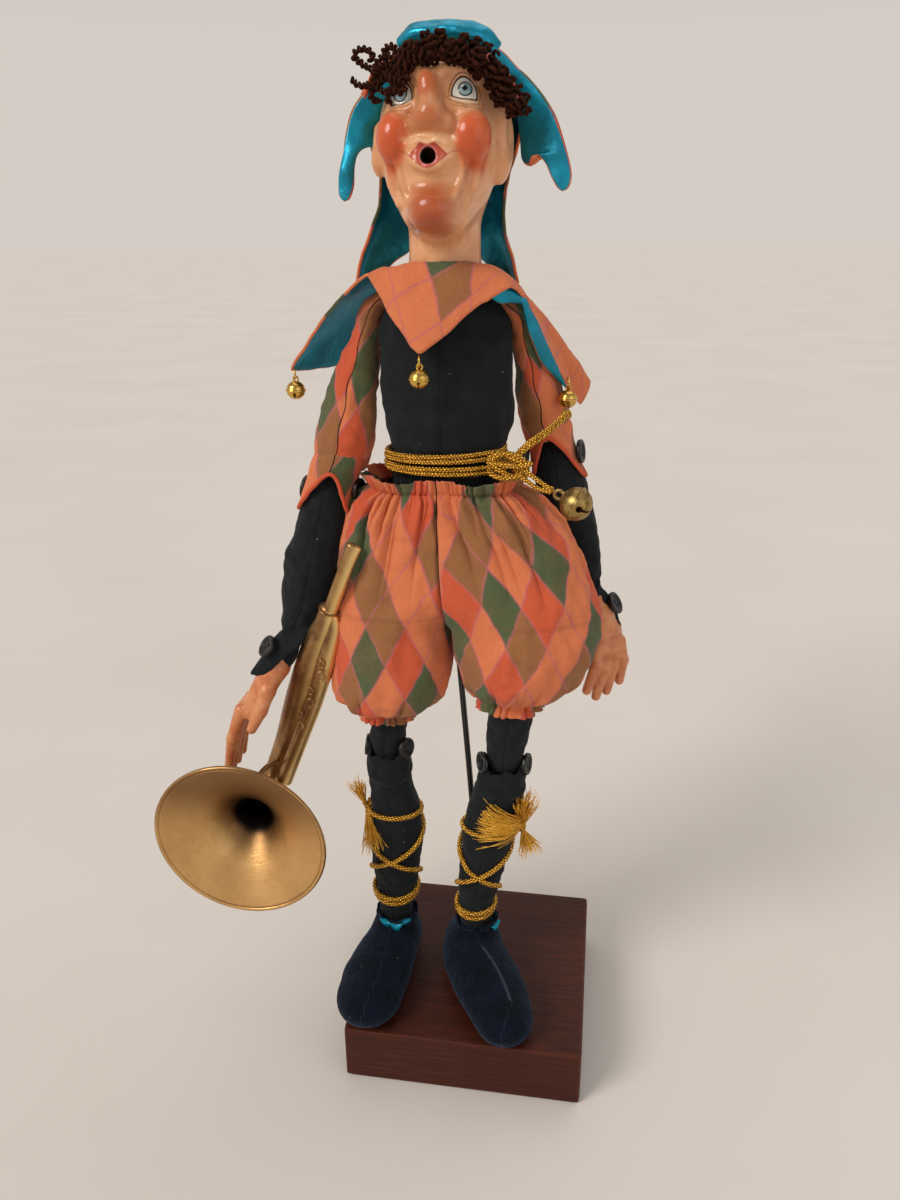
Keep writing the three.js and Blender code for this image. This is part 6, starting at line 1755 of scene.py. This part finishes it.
BELLS = {"front": [-16.2, -26.8, 293.2], "right": [-66.9, -4.8, 285.4], "left": [32.4, 9.2, 281.6]}
Vb, Fb = net(jingle_field(3.5, 20), (-3.9, -3.9, -3.9), (3.9, 3.9, 5.7), 0.24)
for k, c in BELLS.items():
    part = Part()
    part.add(put(Vb, aim((0.05, 0, 1)), c), Fb)
    part.make(f"bell_{k}_brass", [MAT["bell"]], "bell_metal", f"bell_{k}")
    part = Part()
    q = TAU * np.arange(40) / 40
    n = unit(A([1, 0.25, 0]))
    side = unit(np.cross(n, [0, 0, 1]))
    C = A([c[0], c[1], c[2] + 3.5 * 1.18 + 1.75]) + 1.75 * (np.cos(q)[:, None] * side + np.sin(q)[:, None] * A([0, 0, 1]))
    sweep(part, np.vstack([C, C[:1]]), 0.3, 10, closed=True)
    part.make(f"bell_ring_{k}_wire", [MAT["bell"]], "bell_metal", f"bell_ring_{k}")
Vb, Fb = net(jingle_field(5.9, 10, cross=True), (-6.6, -6.6, -6.4), (6.6, 6.6, 9.4), 0.31)
part = Part()
part.add(put(Vb, aim((-0.9, 0.15, 0.42)), (37.9, -24.9, 251.2)), Fb)
part.make("belt_bell_brass", [MAT["old"]], "bell_metal", "belt_bell")

# ---------- horn ----------
HORN = {"bell": A([-94.2, -35, 105.3]), "axis": unit(A([0.008, -0.999, -0.054])), "rim": 36.0, "depth": 29.0, "throat": 5.2}


def lathe(part, prof, at, axis, seg=160, mat=0, closed=True):
    """Turned profile [[radius, height], ...] about an axis; closed joins its last point to its first."""
    M = aim(axis)
    prof = A(prof)
    a = TAU * np.arange(seg) / seg
    P = np.stack([prof[:, 0:1] * np.cos(a), prof[:, 0:1] * np.sin(a), prof[:, 1:2] + 0 * a], -1)
    V = put(P.reshape(-1, 3), M, at)
    F = grid_faces(len(prof), seg, closed, True)
    cl = np.stack([P[..., 0] * 0 + prof[:, 0:1], prof[:, 1:2] + 0 * a, 0 * P[..., 0]], -1).reshape(-1, 3)
    n = np.cross(V[F[0, 1]] - V[F[0, 0]], V[F[0, 3]] - V[F[0, 0]])
    part.add(V, F, mat, cl)


part = Part()
t = np.linspace(0, 1, 60)
flare = HORN["throat"] + (HORN["rim"] - HORN["throat"]) * (1 - t) ** 1.95 * (1 - 0.12 * t)
dist = HORN["depth"] * (1 - t)
outer = np.stack([flare, dist], 1)[::-1]
inner = np.stack([np.maximum(flare - 0.9, 4.1), dist + 0.55], 1)
q = np.linspace(-0.5 * math.pi, 1.1 * math.pi, 12)
rimp = np.stack([HORN["rim"] - 0.1 + 0.95 * np.cos(q), HORN["depth"] - 0.1 + 0.95 * np.sin(q)], 1)
start = HORN["bell"] - HORN["axis"] * HORN["depth"]
deep = np.array([[4.1, -3.6], [0.05, -3.7]])
back = np.array([[0.05, -4.8], [HORN["throat"], -4.8]])
prof = np.vstack([back, outer, rimp, inner, deep])
seg = 128
n0 = len(part.M)
lathe(part, prof, start, HORN["axis"], seg, closed=True)
rows = np.repeat(np.arange(len(prof)), seg)
part.M[-1] = ((rows >= len(back) + len(outer) + 6)).astype(int)
TUBE = [[-93.9, -2.6, 107.2, 4.8, 4.6], [-92.4, 4, 110.5, 5.4, 5], [-88.8, 7.4, 118.4, 6.3, 5], [-83.4, 5.6, 132, 6.5, 5], [-77.4, 1.2, 150, 6.4, 4.8], [-72.2, -3.4, 164, 6.2, 4.8], [-66.2, -8.2, 179, 6.0, 4.6], [-61.2, -12.4, 190, 5.4, 4.4], [-57.4, -15.8, 198, 4.4, 4.1], [-55.0, -18, 204.6, 3.6, 3.5]]
STEM = [[-54.6, -18.2, 203.6, 2.9, 2.8], [-50.2, -20.8, 214, 2.8, 2.6], [-45.6, -22.2, 225, 2.7, 2.1], [-42.6, -23, 231.6, 2.9, 1.8]]
TWIN = [[-86.8, 2.6, 112, 3.6, 3], [-75.8, -1.6, 138, 3.6, 3.2], [-67.2, -6.0, 158, 3.6, 3.2], [-58.8, -12.8, 181, 3.8, 2.9], [-54.0, -17.0, 195, 2.9, 2.4], [-53.6, -18.0, 201, 2.0, 1.8]]
loft(part, TUBE, 40, 1.2, depth=(0, 1, 0.25))
loft(part, TWIN, 32, 1.2)
loft(part, STEM, 28, 0.8)
# curled leaf ornaments in pairs, a ferrule and the brace at the bell
for (cx, cy, cz), tip in (((-62.2, -14.6, 176.6), 0.3), ((-69.2, -9.8, 161.6), 0.2), ((-75.8, -5.6, 148.0), 0.1)):
    for s in (-1, 1):
        q = np.linspace(0, 1.5 * math.pi, 16)
        rr = 2.3 * (1 - q / 7.5)
        P = np.stack([cx + 1.2 + s * 0.2 + rr * np.sin(q) * 0.9, cy - 1.0 - 0.25 * rr * np.cos(q), cz + s * 2.4 + s * rr * np.cos(q)], 1)
        sweep(part, even(P, 0.3), np.interp(np.linspace(0, 1, len(even(P, 0.3))), [0, 0.3, 1], [0.35, 0.6, 0.25]), 10, 0)
T0, X0, Y0 = carried(even([p[:3] for p in TUBE], 0.5))
C0 = even([p[:3] for p in TUBE], 0.5)
for back, r in ((0.6, 3.85),):
    i = len(C0) - 1 - int(back / 0.5)
    q = TAU * np.arange(41) / 40
    ringl = C0[i] + r * (np.cos(q)[:, None] * X0[i] + np.sin(q)[:, None] * Y0[i])
    sweep(part, ringl, 0.35, 10, 0, closed=True)
sweep(part, even([[-89.4, 1.5, 121.5], [-92.6, -3.0, 121.4], [-95.4, -8.0, 118.2], [-96.2, -11.0, 114.0]], 0.5), 1.1, 12, 0)
part.make("horn_bronze_body", [MAT["horn"], MAT["hornin"], MAT["bell"]], "horn_bronze", "horn")

# ---------- leg lacings ----------
def lacing(line, z1, z3, out, lean, seed):
    S = ease(line, np.linspace(0, 1, 400))

    def on(z, a, g=0.95):
        s = S[np.argmin(np.abs(S[:, 2] - z))]
        return [s[0] + (s[3] + g) * math.cos(a), s[1] + (s[4] + g) * math.sin(a), z]
    part = Part()
    front = -math.pi / 2

    def ringp(z, dz, a0, g=0.95, n=26):
        return [on(z + dz * math.cos(TAU * i / n - a0), TAU * i / n, g) for i in range(n)]
    rope(part, ringp(z1, lean, front), 1.2, 2.7, 2, closed=True)
    for turn in (1, -1):
        rope(part, [on(z1 + (z3 - z1) * i / 24, math.pi / 2 + turn * TAU * i / 24, 0.95 + (0.6 if turn > 0 and 10 <= i <= 14 else 0)) for i in range(25)], 1.2, 2.7, 2)
    rope(part, ringp(z3, -2.2, front), 1.2, 2.7, 2, closed=True)
    rope(part, ringp(z3 + 1.7, -1.2, front, 0.9), 1.2, 2.7, 2, closed=True)
    k = A(on(z1 + 1, 0 if out > 0 else math.pi)) + A([out * 0.9, -0.8, 0])
    for j in range(2):
        q = TAU * np.arange(12) / 12
        rope(part, np.stack([k[0] + 1.5 * np.cos(q) * (0.6 if j else 1), k[1] + 1.5 * np.sin(q + j) * 0.9, k[2] + (2.0 if j else 1.2) * np.sin(2 * q + j)], 1), 0.8, 1.9, closed=True, gap=0.3, turn=j)
    return part, k


part, k = lacing(CALF_R, 104.5, 61.5, -1, 1.2, 5)
tassel(part, k + A([-1.0, -0.4, 1.0]), (-0.3, -0.1, 1), 10.5, 80, 7, 0.42, r=0.16, mat=1)
tassel(part, k + A([0.2, -1.8, -1.0]), (0.38, -0.42, -1), 18.0, 150, 8, 0.42, r=0.16, mat=1)
part.make("lacing_right_cord", [MAT["gold"], MAT["fray"]], "gold_cord", "lacing_right")
part, k = lacing(CALF_L, 99.5, 57, 1, 1.6, 6)
# this one lies round the front of the shin, so its threads are drawn on the shin's own round
RT = np.random.RandomState(9)
SL = ease(CALF_L, np.linspace(0, 1, 400))
ka = math.atan2(k[1] - SL[np.argmin(np.abs(SL[:, 2] - k[2])), 1], k[0] - SL[np.argmin(np.abs(SL[:, 2] - k[2])), 0])
for _ in range(230):
    q = np.linspace(0, 1, 10)
    long = RT.uniform(0.95, 1.9)
    rise = RT.normal(0.2, 0.26)
    ang = ka - 0.12 - long * q
    z = k[2] + 4.4 + RT.uniform(-0.9, 0.9) + 11.0 * rise * long * q + RT.uniform(-1.2, 1.2) * np.sin(q * 3)
    off = 1.3 + RT.uniform(0.2, 1.0) + RT.uniform(0.2, 2.2) * np.sin(q * math.pi) ** 2 + RT.uniform(0, 1.0) * q
    rr = [SL[np.argmin(np.abs(SL[:, 2] - h))] for h in z]
    P = np.stack([[w[0] + (w[3] + o) * math.cos(t0), w[1] + (w[4] + o) * math.sin(t0), h] for w, o, t0, h in zip(rr, off, ang, z)])
    sweep(part, P, np.linspace(0.17, 0.12, 10), 4, 1)
tassel(part, k + A([0.6, -1.6, 1.2]), (0.1, -0.3, 1), 18.0, 150, 11, 0.36, r=0.17, mat=1)
tassel(part, k + A([0.9, -1.2, -1.0]), (0.42, -0.25, -1), 10.5, 100, 10, 0.55, r=0.17, mat=1)
part.make("lacing_left_cord", [MAT["gold"], MAT["fray"]], "gold_cord", "lacing_left")

# ---------- buttons ----------
BUTTONS = {
    "button_knee_right_outer": ([-47.0, 0.4, 134.8], [-1, -0.1, 0.1]), "button_knee_right_inner": ([-29.2, -4.4, 137.0], [0.88, -0.46, 0.1]),
    "button_knee_left_inner": ([3.0, -5.2, 133.4], [-0.86, -0.5, 0.1]), "button_knee_left_outer": ([21.6, -3.0, 133.0], [1, -0.25, 0.1]),
    "button_elbow_right_outer": ([-67.6, 1.6, 247.2], [-1, 0.1, 0.2]), "button_elbow_right_inner": ([-45.4, -2, 247.6], [1, -0.2, -0.1]),
    "button_elbow_left_outer": ([37.8, 22.4, 259.4], [1, -0.2, 0.15]), "button_elbow_left_inner": ([16.4, 22.7, 257], [-1, -0.2, 0.1]),
    "button_wrist_right": ([-82.6, -15.4, 185.6], [-0.62, -0.5, 0.6]), "button_wrist_left": ([54.2, 15.8, 199.4], [0.8, -0.25, 0.5]),
}


def button_field(P):
    rad = np.hypot(P[:, 0], P[:, 1])
    d = smax(rad - 4.6, np.abs(P[:, 2]) - 0.85, 0.5)
    d = smax(d, -smax(rad - 3.2, 0.15 - P[:, 2], 0.3), 0.35)
    for s in (-1, 1):
        d = smax(d, -(np.hypot(P[:, 0] - s * 1.15, P[:, 1]) - 0.6), 0.12)
    thread = cap(P, (-1.15, 0, 0.2), (1.15, 0, 0.2), 0.3, 0.3)
    return np.minimum(d, thread)


Vb, Fb = net(button_field, (-5, -5, -1.3), (5, 5, 1.3), 0.36)
for name, (at, axis) in BUTTONS.items():
    part = Part()
    part.add(put(Vb, aim(axis), at), Fb)
    part.make(name + "_disc", [MAT["button"]], "black_button", name)

# ---------- floor and light ----------
FLOOR = 24000
X, Y = np.meshgrid(np.linspace(-FLOOR, FLOOR, 9), np.linspace(-FLOOR, FLOOR, 9), indexing="ij")
me = bpy.data.meshes.new("floor")
me.from_pydata((np.stack([X, Y, 0 * X - 0.05], -1).reshape(-1, 3) * MM).tolist(), [], grid_faces(9, 9).tolist())
me.materials.append(m_floor())
floor = bpy.data.objects.new("floor", me)
bpy.context.scene.collection.objects.link(floor)

world = bpy.data.worlds.new("studio")
bpy.context.scene.world = world
world.use_nodes = True
wn = world.node_tree
sky = wn.nodes["Background"]
where = wn.nodes.new("ShaderNodeTexCoord")
split = wn.nodes.new("ShaderNodeSeparateXYZ")
ramp = wn.nodes.new("ShaderNodeValToRGB")
wn.links.new(where.outputs["Generated"], split.inputs[0])
wn.links.new(split.outputs["Z"], ramp.inputs["Fac"])
wn.links.new(ramp.outputs["Color"], sky.inputs["Color"])
ramp.color_ramp.elements[0].position = 0.16
ramp.color_ramp.elements[0].color = (0.665, 0.612, 0.560, 1)
ramp.color_ramp.elements[1].position = 0.62
ramp.color_ramp.elements[1].color = (0.30, 0.29, 0.28, 1)
sky.inputs["Strength"].default_value = 1.0


def soft_light(name, toward, angle, power, color):
    """A large soft source far away, seen from the object in the direction toward."""
    d = bpy.data.lights.new(name, "SUN")
    d.energy, d.angle, d.color = power, math.radians(angle), color
    o = bpy.data.objects.new(name, d)
    v = -unit(A(toward))
    x = unit(np.cross(v, [0, 0, 1]))
    y = np.cross(x, v)
    o.matrix_world = Matrix([[x[i], y[i], -v[i], toward[i] * 1.0] for i in range(3)] + [[0, 0, 0, 1]])
    bpy.context.scene.collection.objects.link(o)


soft_light("key", (-0.62, -0.62, 0.66), 26, 1.75, (1.0, 0.955, 0.90))
soft_light("fill", (0.75, -0.6, 0.35), 50, 0.35, (0.94, 0.97, 1.0))
soft_light("top", (0.1, 0.35, 1.0), 60, 0.75, (1.0, 0.99, 0.97))
